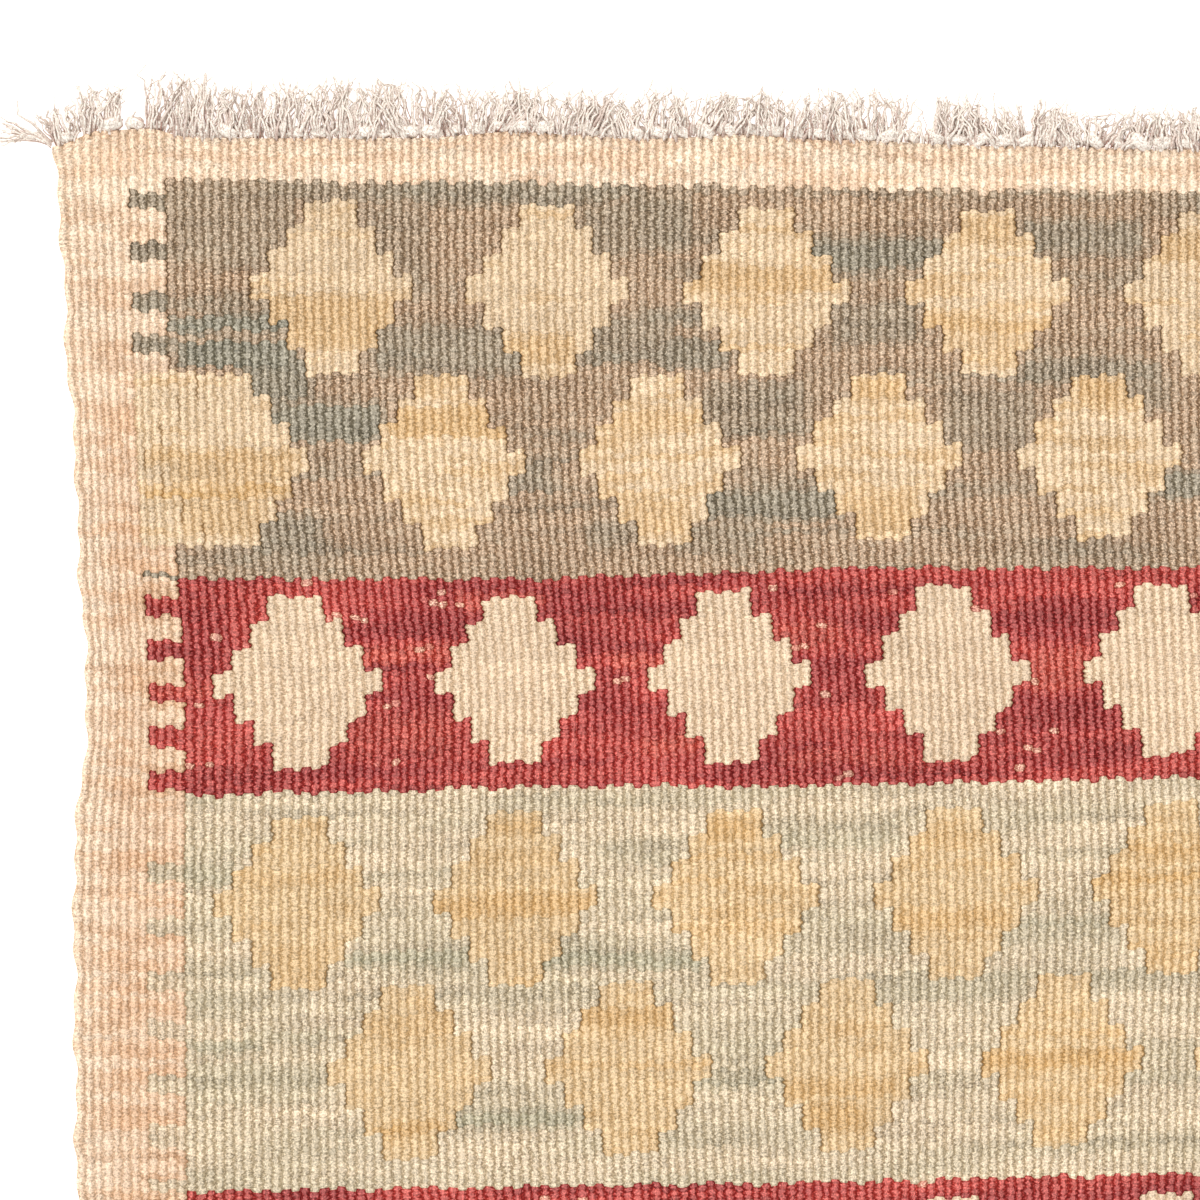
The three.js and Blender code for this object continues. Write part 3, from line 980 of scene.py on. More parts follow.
def flat_cloth(plan):
    """Closed flat cloth whose upper and under faces wait to be raised, finer along its selvedges."""
    skin = ClothSkin(plan)
    fine = np.arange(CLOTH_BUMPS + 1.0)
    coarse = np.linspace(0, CLOTH_BUMPS, CLOTH_ROWS + 1)
    bulge = scallop(fine * plan.bump_pitch / MM)[:, None]
    edges = {
        -1: skin.grid([0], fine, SELVEDGE, -bulge),
        1: skin.grid([WARPS], fine, SELVEDGE, bulge),
    }
    ends = {}
    for side, step in ((UPPER, UPPER_STEP), (UNDER, UNDER_STEP)):
        inward = np.arange(step, ROPE_WARPS + step / 2, step)
        fade = bulge * (1 - inward / ROPE_WARPS)
        inner = np.arange(ROPE_WARPS + step, WARPS - ROPE_WARPS - step / 2, step)
        left = np.hstack([edges[-1], skin.grid(inward, fine, side, -fade)])
        middle = skin.grid(inner, coarse, side)
        right = np.hstack([skin.grid(WARPS - inward[::-1], fine, side, fade[:, ::-1]), edges[1]])
        for part in (left, middle, right):
            skin.cover(part, side)
        seams = [(left[:, -1], fine, middle[:, 0], coarse), (middle[:, -1], coarse, right[:, 0], fine)]
        for one, one_at, other, other_at in seams:
            if side == UPPER:
                skin.stitch(one, one_at, other, other_at)
            else:
                skin.stitch(other, other_at, one, one_at)
        across = np.concatenate([[0], inward, inner, WARPS - inward[::-1], [WARPS]])
        for row in (0, -1):
            ends[side, row] = np.concatenate([left[row], middle[row], right[row]]), across
    skin.stitch(*ends[UPPER, 0], *ends[UNDER, 0])
    skin.stitch(*ends[UNDER, -1], *ends[UPPER, -1])
    return skin.mesh("rug_cloth_flat")


def raised_ribs():
    """Geometry nodes that raise a flat cloth's faces into ribs along its warps."""
    inputs = {"Cloth": SHAPE, **dict.fromkeys(RIB_SIZES, NUMBER), "Finish": FINISH}
    net = new_group("Raised Ribs", "GeometryNodeTree", inputs, {"Cloth": SHAPE})
    given = net.given
    warp = net.held("warp")
    side = net.held("side")
    off_centre = abs(warp - net.floor(warp) - 0.5) * 2
    round_share = 1 - off_centre**RIB_ROUNDNESS
    on_rope = abs(warp - WARPS / 2) > (WARPS / 2 - ROPE_WARPS)
    crest = given["Crest"] + on_rope * (given["Selvedge Crest"] - given["Crest"])
    upper = given["Valley"] + round_share * (crest - given["Valley"])
    under = (1 - round_share) * given["Under Valley"]
    face = under + (side > (SELVEDGE + UPPER) / 2) * (upper - under)
    edge = abs(side - SELVEDGE) < (UPPER - SELVEDGE) / 2
    height = face + edge * (given["Selvedge Line"] - face)
    raised = net.moved(given["Cloth"], Offset=net.vector(0.0, 0.0, height))
    return net.finish(Cloth=net.finished(raised))


def new_object(name, data):
    """An object of the scene, at the origin."""
    thing = bpy.data.objects.new(name, data)
    bpy.context.scene.collection.objects.link(thing)
    return thing


def grown_piece(name, start, tree, settings):
    """A plain mesh object of what a Geometry Nodes tree makes of a start mesh."""
    maker = new_object(name + "_maker", start)
    modifier = maker.modifiers.new(tree.name, "NODES")
    modifier.node_group = tree
    for item in tree.interface.items_tree:
        if item.in_out == "INPUT" and item.name in settings:
            modifier[item.identifier] = settings[item.name]
    ready = maker.evaluated_get(bpy.context.evaluated_depsgraph_get())
    mesh = bpy.data.meshes.new_from_object(ready)
    bpy.data.objects.remove(maker)
    bpy.data.meshes.remove(start)
    mesh.name = name
    return new_object(name, mesh)


def weave_cells():
    """Shader group that tells which bump of weft a place on the cloth belongs to."""
    outputs = dict.fromkeys(["Rib", "Pick", "Height", "Line", "Side"], NUMBER)
    inputs = dict.fromkeys(["Warp", "Bump", "Zigzag", "Fray"], NUMBER)
    net = new_group("Weave Cells", "ShaderNodeTree", inputs, outputs)
    warp, bump = net.given["Warp"], net.given["Bump"]
    line = net.math("ROUND", warp)
    swing = net.math("COSINE", bump * (2 * math.pi)) * ((line % 2) * 2 - 1)
    boundary = line + net.given["Zigzag"] * swing
    rib = line - 1 + (warp > boundary)
    away = abs(warp - boundary)
    phase = bump + 0.5 * (1 - rib % 2)
    pick = net.floor(phase)
    along = abs(phase - pick - 0.5) * 2
    height = net.ramp(away + net.given["Fray"], **RISES["bump side"]) * (1 - BUMP_DIP * along**4)
    return net.finish(Rib=rib, Pick=pick, Height=height, Line=line, Side=away)


def kilim_chart():
    """Shader group that reads the rug's chart at one bump of weft.

    Ribs, picks and steps are whole numbers, so they are compared with a limit half way between two.
    """
    inputs = dict.fromkeys(["Rib", "Pick", "Line"], NUMBER)
    outputs = dict.fromkeys(["Ground", "Diamond", "Red", "Sage", "Seed", "Slit"], NUMBER)
    net = new_group("Kilim Chart", "ShaderNodeTree", inputs, outputs)
    rib, pick, line = net.given["Rib"], net.given["Pick"], net.given["Line"]
    body = abs(pick + 0.5 - CLOTH_BUMPS / 2) < BODY_BUMPS / 2
    place = (pick - END_BUMPS) % REPEAT_BUMPS
    past_grey = place > RED_START - 0.5
    past_red = place > SAGE_START - 0.5
    past_sage = place > SECOND_RED_START - 0.5
    sage = past_red - past_sage
    red = past_grey - sage
    into = place - (past_grey * GREY_BUMPS + past_red * RED_BUMPS + past_sage * SAGE_BUMPS)

    # The row of diamonds reached last, and the diamond in it whose middle is nearest
    start, centre = -DIAMOND_BUMPS, 0
    before = {"start": start, "centre": centre}
    for row in DIAMOND_ROWS:
        reached = place > row["start"] - 0.5
        start = reached * (row["start"] - before["start"]) + start
        centre = reached * (row["centre"] - before["centre"]) + centre
        before = row
    step = net.floor((place - start) / DIAMOND_STEP_BUMPS)
    half = DIAMOND_HALF - DIAMOND_STEP_WARPS * abs(step - (DIAMOND_STEPS - 1) / 2)
    across = rib + (0.5 - FIELD_FROM) - centre
    number = net.floor((across + DIAMOND_REPEAT / 2) / DIAMOND_REPEAT)
    middle = centre + number * DIAMOND_REPEAT
    field = WARPS - 2 * FIELD_FROM
    whole = abs(middle - field / 2) < field / 2 - DIAMOND_MARGIN
    from_middle = abs(rib + (0.5 - WARPS / 2))
    inside = from_middle < WARPS / 2 - SELVEDGE_WARPS
    in_row = whole * inside * (step < DIAMOND_STEPS - 0.5) * body
    from_axis = across - number * DIAMOND_REPEAT
    at_border = abs(middle - field / 2) > field / 2 - DIAMOND_HALF
    outer_side = from_axis * (middle - field / 2) > 0
    diamond = (abs(from_axis) * (1 - at_border * outer_side) < half) * in_row

    def tooth_size(column):
        """A reading of the teeth's table for the band here."""
        grey_size, red_size, sage_size = (TEETH[band][column] for band in ("grey", "red", "sage"))
        return sage * (sage_size - grey_size) + (red * (red_size - grey_size) + grey_size)

    # Teeth stand between the field and the selvedges, but not beside a half diamond
    first = tooth_size("first")
    tooth = ((into - first) % tooth_size("pitch") < TOOTH_BUMPS) * (into > first - 0.5)
    right_side = rib > WARPS / 2
    half_way = DIAMOND_ROWS[1]["start"] + DIAMOND_BUMPS / 2 - 0.5
    beside_half = abs(place + right_side * DIAMOND_BUMPS - half_way) < DIAMOND_BUMPS / 2
    tooth = tooth * (1 - beside_half * (1 - past_grey)) * (1 - sage * (1 - FAINT_TEETH))
    in_field = from_middle < WARPS / 2 - FIELD_FROM
    ground = body * inside * net.math("MAXIMUM", in_field, tooth) * (1 - diamond)
    seed = number + start * 3

    # Slits stay open between warps where the colour changes across them for several bumps
    at_diamond = abs(abs(line - FIELD_FROM - middle) - half) < 0.5
    line_from_middle = abs(line - WARPS / 2)
    at_gap = abs(line_from_middle - (WARPS / 2 - FIELD_FROM)) < 0.5
    at_tip = abs(line_from_middle - (WARPS / 2 - SELVEDGE_WARPS)) < 0.5
    # The slit mask is used only for painted shade, fainter in the sage bands
    at_tooth = (at_gap * (1 - tooth) + at_tip * tooth) * body * (1 - diamond) * (1 - sage * SAGE_SOFTNESS)
    slit = net.math("MAXIMUM", at_diamond * in_row, at_tooth)
    return net.finish(Ground=ground, Diamond=diamond, Red=red, Sage=sage, Seed=seed, Slit=slit)


def streak_tracks(rows):
    """Sorts streaks into tracks, so that no two in one track lie beside each other."""
    tracks = []
    for streak in sorted(table(STREAK_COLUMNS, *rows), key=lambda streak: streak["bump"]):
        free = [track for track in tracks if track[-1]["last_bump"] + 2 * STREAK_MARGIN < streak["bump"]]
        if free:
            free[0].append(streak)
        else:
            tracks.append([streak])
    return tracks


def bend_curve(curve, corners):
    """Straight stretches between corners, each a place and a value, both from 0 to 1."""
    places = [0, *(place for place, _ in corners), 1]
    values = [corners[0][1], *(value for _, value in corners), corners[-1][1]]
    for point, place, value in zip((curve.points[0], curve.points[-1]), (0, 1), (values[0], values[-1])):
        point.location = (place, value)
    for place, value in zip(places[1:-1], values[1:-1]):
        curve.points.new(place, value)
    for point in curve.points:
        point.handle_type = "VECTOR"


def track_mask(net, track, warp_share, bump_share):
    """Mask of one track: its curves give the first warp, last warp and strength at each bump."""
    node = net.node("ShaderNodeRGBCurve")
    first_warps, last_warps, strengths = [], [], []
    for streak in track:
        first, last = streak["bump"], streak["last_bump"]
        for bump in (first - STREAK_MARGIN, last + STREAK_MARGIN):
            first_warps.append((bump / TRACK_BUMPS, streak["warp"] / WARPS))
            last_warps.append((bump / TRACK_BUMPS, streak["last_warp"] / WARPS))
        ease = STREAK_MARGIN / 2
        for bump, share in ((first - ease, 0), (first + ease, 1), (last - ease, 1), (last + ease, 0)):
            strengths.append((bump / TRACK_BUMPS, share * streak["strength"]))
    for curve, corners in zip(node.mapping.curves, (first_warps, last_warps, strengths)):
        bend_curve(curve, corners)
    node.mapping.update()
    first_warp, last_warp, strength = net.parts(net.put(node, {"Color": bump_share}))
    inside = net.math("MINIMUM", warp_share - first_warp, last_warp - warp_share)
    return strength * net.math("MULTIPLY_ADD", inside, WARPS / STREAK_FADE_WARPS, 0.5, clamp=True)


def streak_masks(net, warp_share, bump_share):
    """The strongest streak at a place, by yarn: yarns that never meet in a band share one mask."""
    masks = {}
    for yarns in SHARED_STREAKS:
        rows = [row for yarn in yarns for row in STREAKS[yarn]]
        shared = 0.0
        for track in streak_tracks(rows):
            shared = net.math("MAXIMUM", shared, track_mask(net, track, warp_share, bump_share))
        masks.update(dict.fromkeys(yarns, shared))
    return masks


def yarn_tone():
    """Shader group for spun wool, built once: painted shade in its valleys, pale fuzz and a painted
    highlight on its crests, and uneven from bump to bump.
    """
    if "Yarn Tone" in bpy.data.node_groups:
        return bpy.data.node_groups["Yarn Tone"]
    inputs = {"Colour": COLOUR, **dict.fromkeys(["Height", "Unevenness", "Depth"], NUMBER)}
    net = new_group("Yarn Tone", "ShaderNodeTree", inputs, {"Colour": COLOUR})
    # Painted shade: the lower the Height, the deeper and darker the colour, as far as Depth gives
    shade_depth = net.given["Depth"] * (1 - net.given["Height"])
    # Painted highlight: the higher the Height, the more the colour turns to a pale fuzz
    fuzz_highlighted = net.mix(net.given["Height"] * FUZZ_HIGHLIGHT_SHARE, net.given["Colour"], FUZZ_HIGHLIGHT)
    shade_deepened = net.add("ShaderNodeGamma", {"Color": fuzz_highlighted, "Gamma": 1 + shade_depth * VALLEY_GAMMA})
    light = (1 - shade_depth * VALLEY_SHADE) * (1 + net.given["Unevenness"])
    return net.finish(Colour=net.add("ShaderNodeVectorMath", {0: shade_deepened, 3: light}, operation="SCALE"))


def new_material(name):
    """A material with no nodes yet, and the net that wires it."""
    material = bpy.data.materials.new(name)
    material.use_nodes = True
    material.node_tree.nodes.clear()
    return material, Net(material.node_tree)


def streak_place(net, rib, pick, ragged):
    """Where a bump of weft lies among the streaks, as shares of the warps and of a track's bumps."""
    below = pick - END_BUMPS
    repeat = net.floor(below / REPEAT_BUMPS)
    shifted = (rib - FIELD_FROM + repeat * STREAK_SHIFT_WARPS) % STREAK_REPEAT_WARPS
    warp = shifted + FIELD_FROM + 0.5 - (rib < FIELD_FROM) * STREAK_REPEAT_WARPS
    bump = below - repeat * REPEAT_BUMPS + END_BUMPS + 0.5 + (ragged - 0.5) * RAGGED_BUMPS
    return warp / WARPS, bump / TRACK_BUMPS


def ground_yarns(net, yarns, run, dice, from_edge, streaks):
    """Yarns of the three grounds, taupe, brick and sage, with their other lots."""
    mingled = net.clamp((dice - 0.5) * MINGLED_TEAL)
    toothed = (from_edge < FIELD_FROM) * TOOTH_TEAL
    taupe = net.mix(net.ramp(run, **RISES["teal lot"]) + mingled, yarns.taupe, yarns.teal)
    taupe = net.mix(net.math("MAXIMUM", streaks["teal"], toothed), taupe, yarns.teal)
    brick = net.mix(net.ramp(run, **RISES["crimson lot"]), yarns.brick, yarns.crimson)
    brick = net.mix(streaks["crimson"], brick, yarns.crimson)
    brick = net.mix(streaks["flame"], brick, yarns.flame)
    sage = net.mix(net.ramp(run, **RISES["moss lot"]), yarns.sage, yarns.moss)
    sage = net.mix(streaks["reed"], sage, yarns.reed)
    return taupe, brick, sage


def diamond_yarns(net, yarns, patch, seed, streaks):
    """Yarns of the grey and sage bands' diamonds, straw and honey, with their yellow lot."""
    golden = net.ramp(patch + seed * DIAMOND_OCHRE, **RISES["ochre patch"])
    golden = net.math("MAXIMUM", streaks["ochre"], golden)
    return net.mix(golden, yarns.straw, yarns.ochre), net.mix(golden, yarns.honey, yarns.ochre)


def border_yarn(net, yarns, pick, patch, from_edge):
    """Yarn of the end bands and selvedges, redder further down and in patches."""
    blush = net.ramp(from_edge, **RISES["peach across"]) + LEAST_PEACH
    blush = net.ramp(pick, **RISES["peach down"]) * blush + net.ramp(patch, **RISES["peach patch"])
    return net.mix(blush, yarns.border, yarns.peach)


def weave_material(weave, yarns):
    """Wool weft of the cloth: chart, dye lots, bumps, painted shade in its valleys and slits, and uneven
    yarn.
    """
    material, net = new_material("kilim_wool_weft")

    def cloth_noise(name, across, down):
        """One of the noises over the flat cloth, at a place on it."""
        row = CLOTH_NOISES[name]
        across = net.math("MULTIPLY_ADD", across, row["across"], row["start"])
        place = net.vector(across, down * row["down"])
        return net.noise(place, 1.0, row["detail"], row["rough"], dimensions="2D")

    def tone_share(name, ground):
        """How much one kind of light and dark shows here."""
        return ground * TONES[name]["ground"] + TONES[name]["all"]

    # Uneven beating and spinning
    warp, bump, _ = net.parts(net.add("ShaderNodeUVMap", {}, uv_map="weave"))
    fibre = cloth_noise("fibre", warp, bump) - 0.5
    warp_here = warp + (cloth_noise("wander", warp, bump) - 0.5) * WANDER_WARPS
    bump_here = bump + (cloth_noise("beat", warp, bump) - 0.5) * BEAT_BUMPS
    sizes = {"Zigzag": weave.zigzag, "Fray": fibre * FRAY_WARPS}
    cell = net.use(weave_cells(), Warp=warp_here, Bump=bump_here, **sizes)
    rib, pick, height = cell["Rib"], cell["Pick"], cell["Height"]
    chart = net.use(kilim_chart(), Rib=rib, Pick=pick, Line=cell["Line"])
    ground, diamond, red, sage = (chart[name] for name in ("Ground", "Diamond", "Red", "Sage"))

    # Dye lots: long runs of weft, and streaks where the weaver changed yarn
    run, pass_tone, patch, ragged = (
        cloth_noise(name, rib, pick) for name in ("run", "pass", "patch", "ragged")
    )
    dice = net.dice(net.vector(rib, pick))
    seed = net.dice(net.vector(chart["Seed"], 0.5))
    streaks = streak_masks(net, *streak_place(net, rib, pick, ragged))
    from_edge = WARPS / 2 - abs(rib - (WARPS - 1) / 2)
    taupe, brick, moss = ground_yarns(net, yarns, run, dice, from_edge, streaks)
    straw, honey = diamond_yarns(net, yarns, patch, seed, streaks)
    border = border_yarn(net, yarns, pick, patch, from_edge)
    grounds = net.mix(red, net.mix(sage, taupe, moss), brick)
    figures = net.mix(red, net.mix(sage, straw, honey), yarns.ivory)
    colour = net.mix(diamond, net.mix(ground, border, grounds), figures)
    slub = (dice > SLUB_DICE) * net.ramp(patch, **RISES["slub patch"]) * red * ground
    colour = net.mix(slub * (fibre + SLUB_IVORY), colour, yarns.ivory)

    # Painted shade in the valleys and slits, painted glints and random tone: crisp in the taupe and brick
    # grounds, and softer in the sage ones
    # Painted shade along the slits, strongest next to the slit line
    slit = chart["Slit"] * (1 - net.ramp(cell["Side"], **RISES["slit side"]))
    crisp = ground * (1 - sage * SAGE_SOFTNESS)
    uneven = (pass_tone - 0.5) * tone_share("pass", ground)
    uneven = uneven + (patch - 0.5) * tone_share("patch", ground)
    uneven = uneven + (dice - 0.5) * tone_share("bump", ground)
    uneven = uneven + (seed - 0.5) * diamond * DIAMOND_TONE
    uneven = uneven + fibre * tone_share("fibre", crisp)
    tone = net.use(
        yarn_tone(),
        Colour=colour,
        Height=height * (1 - slit),
        Unevenness=uneven + net.ramp(fibre, **RISES["glint"]) * crisp,
        Depth=ragged * RAGGED_SHADE_DEPTH + tone_share("valley", crisp) + slit * SLIT_SHADE_DEPTH,
    )["Colour"]
    relief = {"Strength": 0.7, "Distance": weave.bump_relief, "Height": height}
    normal = net.add("ShaderNodeBump", relief, "Normal")
    net.surface({"Base Color": tone, "Roughness": 0.88, "Specular IOR Level": 0.2, "Normal": normal})
    return material


def undyed_material(yarns):
    """Undyed warp yarn of the knots and frayed ends: darker strands, and painted shade on its sides, in
    its creases and in its hollows.
    """
    material, net = new_material("kilim_warp_yarn")

    def carried(name):
        """A number that each point of the mesh carries."""
        return net.add("ShaderNodeAttribute", {}, "Fac", attribute_name=name)

    tone, along, side = carried("tone"), carried("along"), carried("side")
    place = net.node("ShaderNodeTexCoord").outputs["Object"]
    hollow = net.noise(place, HOLLOWS, 2.0)
    # Painted shade in thin creases, where the crease noise is near its middle
    wool = net.noise(place, CREASES, 1.0)
    crease = (1 - net.ramp(abs(wool - 0.5), **RISES["strand crease"])) * CREASE_SHADE
    # Darker strands: a random tone of their own, and also painted shade lying low between the pale
    # strands; paler towards the tips
    dark = net.ramp(tone, **RISES["shaded strand"]) * (1 - along * DARK_FADE)
    # Painted shade on the sides of the strands and knots that face away from up, with a rough edge
    edge = net.ramp(side + (hollow - 0.5) * SIDE_SHADE_WANDER, **RISES["strand side shade"])
    shaded = net.math("MAXIMUM", net.math("MAXIMUM", dark, edge), crease) * (1 - along * TIP_FADE)
    colour = net.mix(shaded, yarns.warp_yarn, yarns.warp_shade)
    # Painted shade in fine specks where the hollow noise is low, with uneven tone
    height = net.ramp(hollow, **RISES["strand hollow"])
    sizes = {"Height": height, "Unevenness": (hollow - 0.5) * STRAND_TONE, "Depth": STRAND_SHADE_DEPTH}
    tone = net.use(yarn_tone(), Colour=colour, **sizes)["Colour"]
    net.surface({"Base Color": tone, "Roughness": 0.8, "Specular IOR Level": 0.25})
    return material


def wrapped_yarn(net):
    """Yarn wrapped round the warps' line, narrower towards the two ends of the wrap."""
    line = {"Start Radius": WRAP_RADIUS, "End Radius": WRAP_END_RADIUS, "Height": WRAP_HEIGHT}
    line.update({"Resolution": WRAP_POINTS, "Rotations": WRAP_TURNS})
    turns = net.add("GeometryNodeCurveSpiral", line)
    lying = {"Rotation": (math.pi / 2, 0, 0), "Translation": (0, WRAP_HEIGHT / 2, 0)}
    rolled = net.add("GeometryNodeTransform", {"Geometry": turns, **lying})
    yarn = net.add("GeometryNodeCurvePrimitiveCircle", {"Resolution": WRAP_SIDES, "Radius": WRAP_YARN})
    tube = {"Curve": rolled, "Profile Curve": yarn, "Fill Caps": True}
    wrap = net.add("GeometryNodeCurveToMesh", tube)
    x, y, z = net.place()
    taper = (1 - y * y * (WRAP_TAPER * 4 / WRAP_LENGTH**2)) ** 0.5
    wrap = net.moved(wrap, Position=net.vector(x * taper, y, z * taper))
    return net.stored(net.stored(wrap, "along", 0.0), "tone", 0.0)


def tied_knots(net):
    """The knots: wrapped yarn on the end line, lumpy and flattened on the floor."""
    width, length, height = (net.given["Knot " + name] for name in ("Width", "Length", "Height"))
    size = net.held("size") * net.drawn("size")
    turned = net.vector(net.drawn("tilt"), 0.0, net.held("turn") + net.drawn("twist"))
    scale = net.vector(
        size * width / WRAP_ACROSS,
        size * length / WRAP_LENGTH,
        size * height / WRAP_ACROSS,
    )
    raised = net.moved(net.given["Knots"], Offset=net.vector(0.0, 0.0, size * height / 2))
    copies = {"Points": raised, "Instance": wrapped_yarn(net), "Rotation": turned, "Scale": scale}
    knots = net.realized(net.add("GeometryNodeInstanceOnPoints", copies))
    x, y, z = net.place()
    lumps = net.noise(net.vector(x, y, z), LUMPS) - 0.5
    over_floor = net.math("MAXIMUM", z + lumps * MM, KNOT_FLOOR * MM)
    return net.moved(knots, Position=net.vector(x + lumps * LUMP_ASIDE * MM, y - lumps * MM, over_floor))


def strand_roots(net):
    """Points in the knots that the strands grow from, with the tone, thickness and heights of each."""
    knot_height = net.given["Knot Height"]
    split = {"Geometry": net.given["Knots"], "Amount": net.held("strands", "INT")}
    roots = net.add("GeometryNodeDuplicateElements", split, domain="POINT")
    tone = net.drawn("tone")
    lift = net.drawn("lift") - tone * DARK_DROP
    thin = (tone > PALE_SHARE) * DARK_THINNING
    roots = net.stored(roots, "tone", tone)
    roots = net.stored(roots, "rest", net.drawn("rest") * knot_height)
    roots = net.stored(roots, "root", lift * knot_height * net.held("size"))
    roots = net.stored(roots, "yarn", net.drawn("yarn") * net.given["Strand Radius"] * (1 - thin))
    start = net.drawn("start") * net.given["Knot Length"] * net.math("COSINE", net.held("turn"))
    aside = net.drawn("aside") * net.given["Knot Width"] * net.held("size")
    return net.moved(roots, Offset=net.vector(aside, start))


def frayed_strands(net):
    """The strands: lines that start in a knot, fan out, wander and sink to the floor."""
    line = net.add("GeometryNodeCurvePrimitiveLine", {"Start": (0, 0, 0), "End": (0, 1, 0)})
    line = net.add("GeometryNodeResampleCurve", {"Curve": line, "Count": STRAND_POINTS})
    spread = net.held("turn") - net.drawn("aside") * FAN_TURN + net.drawn("spread")
    x, y, _ = net.place()
    tuft = net.noise(net.vector(x, y), TUFTS)
    reach = net.held("reach") * net.drawn("reach") * (tuft * TUFT_REACH + LEAST_TUFT)
    laid = {"Rotation": net.vector(0.0, 0.0, spread), "Scale": net.vector(1.0, reach, 1.0)}
    copies = {"Points": strand_roots(net), "Instance": line, **laid}
    strands = net.realized(net.add("GeometryNodeInstanceOnPoints", copies))
    along = net.add("GeometryNodeSplineParameter", {}, "Factor")
    strands = net.stored(strands, "along", along)

    # Crimp, which grows towards the tips, and the way down to the floor
    x, y, _ = net.place()
    crimp = net.noise(net.vector(x, y, net.held("tone") * CRIMP_APART), CRIMPS, 2.0, output="Color")
    aside_by, along_by, up_by = net.parts(crimp)
    loose = net.given["Curl"] * net.math("POWER", along, CRIMP_POWER) * 2
    rise = net.ramp(along, **RISES["strand root"]) * (1 - along**SINK_POWER)
    height = net.held("root") * rise + net.held("rest") * along * (LEAST_REST + up_by)
    height = net.math("MAXIMUM", height, net.held("yarn") * FLOOR_GAP)
    moved = net.vector(x + (aside_by - 0.5) * loose * CRIMP_ASIDE, y + (along_by - 0.5) * loose, height)
    strands = net.moved(strands, Position=moved)
    strands = net.add("GeometryNodeSetCurveNormal", {"Curve": strands}, mode="Z_UP")
    profile = net.add("GeometryNodeCurvePrimitiveCircle", {"Resolution": STRAND_SIDES, "Radius": 1.0})
    tube = {"Curve": strands, "Profile Curve": profile, "Fill Caps": True}
    thickness = net.held("yarn") * (1 - net.held("along") * TIP_THINNING)
    return net.add("GeometryNodeCurveToMesh", {**tube, "Scale": thickness})


def tied_fringe():
    """Geometry nodes that tie a knot and fray its strands at each point of a row."""
    inputs = {"Knots": SHAPE, **dict.fromkeys(FRINGE_SIZES, NUMBER), "Seed": WHOLE, "Finish": FINISH}
    net = new_group("Tied Fringe", "GeometryNodeTree", inputs, {"Fringe": SHAPE})
    join = net.node("GeometryNodeJoinGeometry")
    for shape in (frayed_strands(net), tied_knots(net)):
        net.feed(join.inputs[0], shape)
    # Each point carries how far its normal turns away from up, for painted shade on the yarn's sides
    _, _, up = net.parts(net.add("GeometryNodeInputNormal", {}))
    side_shaded = net.stored(join.outputs[0], "side", 1 - net.clamp(up))
    return net.finish(Fringe=net.finished(side_shaded))


def knot_lean(middle, end, dice):
    """Turn of a knot from straight out: in waves along the row, uneven, and away from bald spots."""
    waves = [wave["turn"] * math.sin(middle * wave["rate"] + wave["start"]) for wave in LEAN_WAVES]
    lean = sum(waves) + dice.normal(0, LEAN_SPREAD)
    for low, high in BALD_SPOTS[end]:
        past = middle - (low + high) / 2
        if abs(past) < BALD_KNOTS:
            lean += math.copysign(BALD_LEAN, past)
    return lean


def knot_row(plan, fringe, end):
    """A row of points, one to a knot, with how each knot is tied and how its strands lie."""
    outward, bump = (1, 0) if end == "head" else (-1, CLOTH_BUMPS)
    dice = np.random.default_rng(fringe.seed + outward)
    rows = []
    for number in range(KNOT_COUNT):
        middle = number + 0.5
        bald = any(low < middle < high for low, high in BALD_SPOTS[end])
        x, y = plan.place(middle * plan.knot_warps, bump)
        size = BALD["size"] if bald else 1.0
        reach = along_table(REACH_ROWS, "knot", end, middle) * MM - fringe.knot_length * KNOT_INSIDE
        lean = knot_lean(middle, end, dice)
        out = fringe.knot_length * (KNOT_OUT * size + dice.uniform(-KNOT_OUT_SPREAD, KNOT_OUT_SPREAD))
        more = 0 if bald else int(dice.integers(-STRANDS_SPREAD, STRANDS_SPREAD + 1))
        rows.append(
            {
                "place": (x, y + outward * out, 0),
                "size": size,
                "turn": (0 if outward > 0 else math.pi) - lean * outward,
                "reach": reach * (BALD["reach"] if bald else 1.0),
                "strands": BALD["strands"] if bald else fringe.strands + more,
            }
        )
    corner_x, corner_y = plan.place(0, 0)
    for stray in STRAYS:
        if end == "head":
            place = (corner_x + stray["aside"] * MM, corner_y + stray["along"] * MM, 0)
            turn = math.radians(stray["turn"])
            rows.append({"place": place, "turn": turn, "reach": stray["reach"] * MM, **STRAY})
    mesh = bpy.data.meshes.new("fringe_" + end + "_knots")
    mesh.from_pydata([row["place"] for row in rows], [], [])
    for name, kind in (("size", "FLOAT"), ("turn", "FLOAT"), ("reach", "FLOAT"), ("strands", "INT")):
        carry(mesh, name, kind, [row[name] for row in rows])
    return mesh


def settings_of(group, names):
    """Sizes of a group of settings, by the names of the sockets that they feed."""
    return {name: getattr(group, name.lower().replace(" ", "_")) for name in names}


class KILIM_OT_weave_cloth(bpy.types.Operator):
    """Weave the rug's cloth in place of its plain solid"""

    bl_idname = "kilim.weave_cloth"
    bl_label = "Weave cloth"

    def execute(self, context):
        weave = context.scene.kilim_weave
        settings = settings_of(weave, RIB_SIZES)
        settings["Finish"] = weave_material(weave, context.scene.kilim_yarns)
        cloth = grown_piece("rug_weft", flat_cloth(RugPlan(weave)), raised_ribs(), settings)
        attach(cloth, "root")
        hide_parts("rug_cloth")
        return {"FINISHED"}


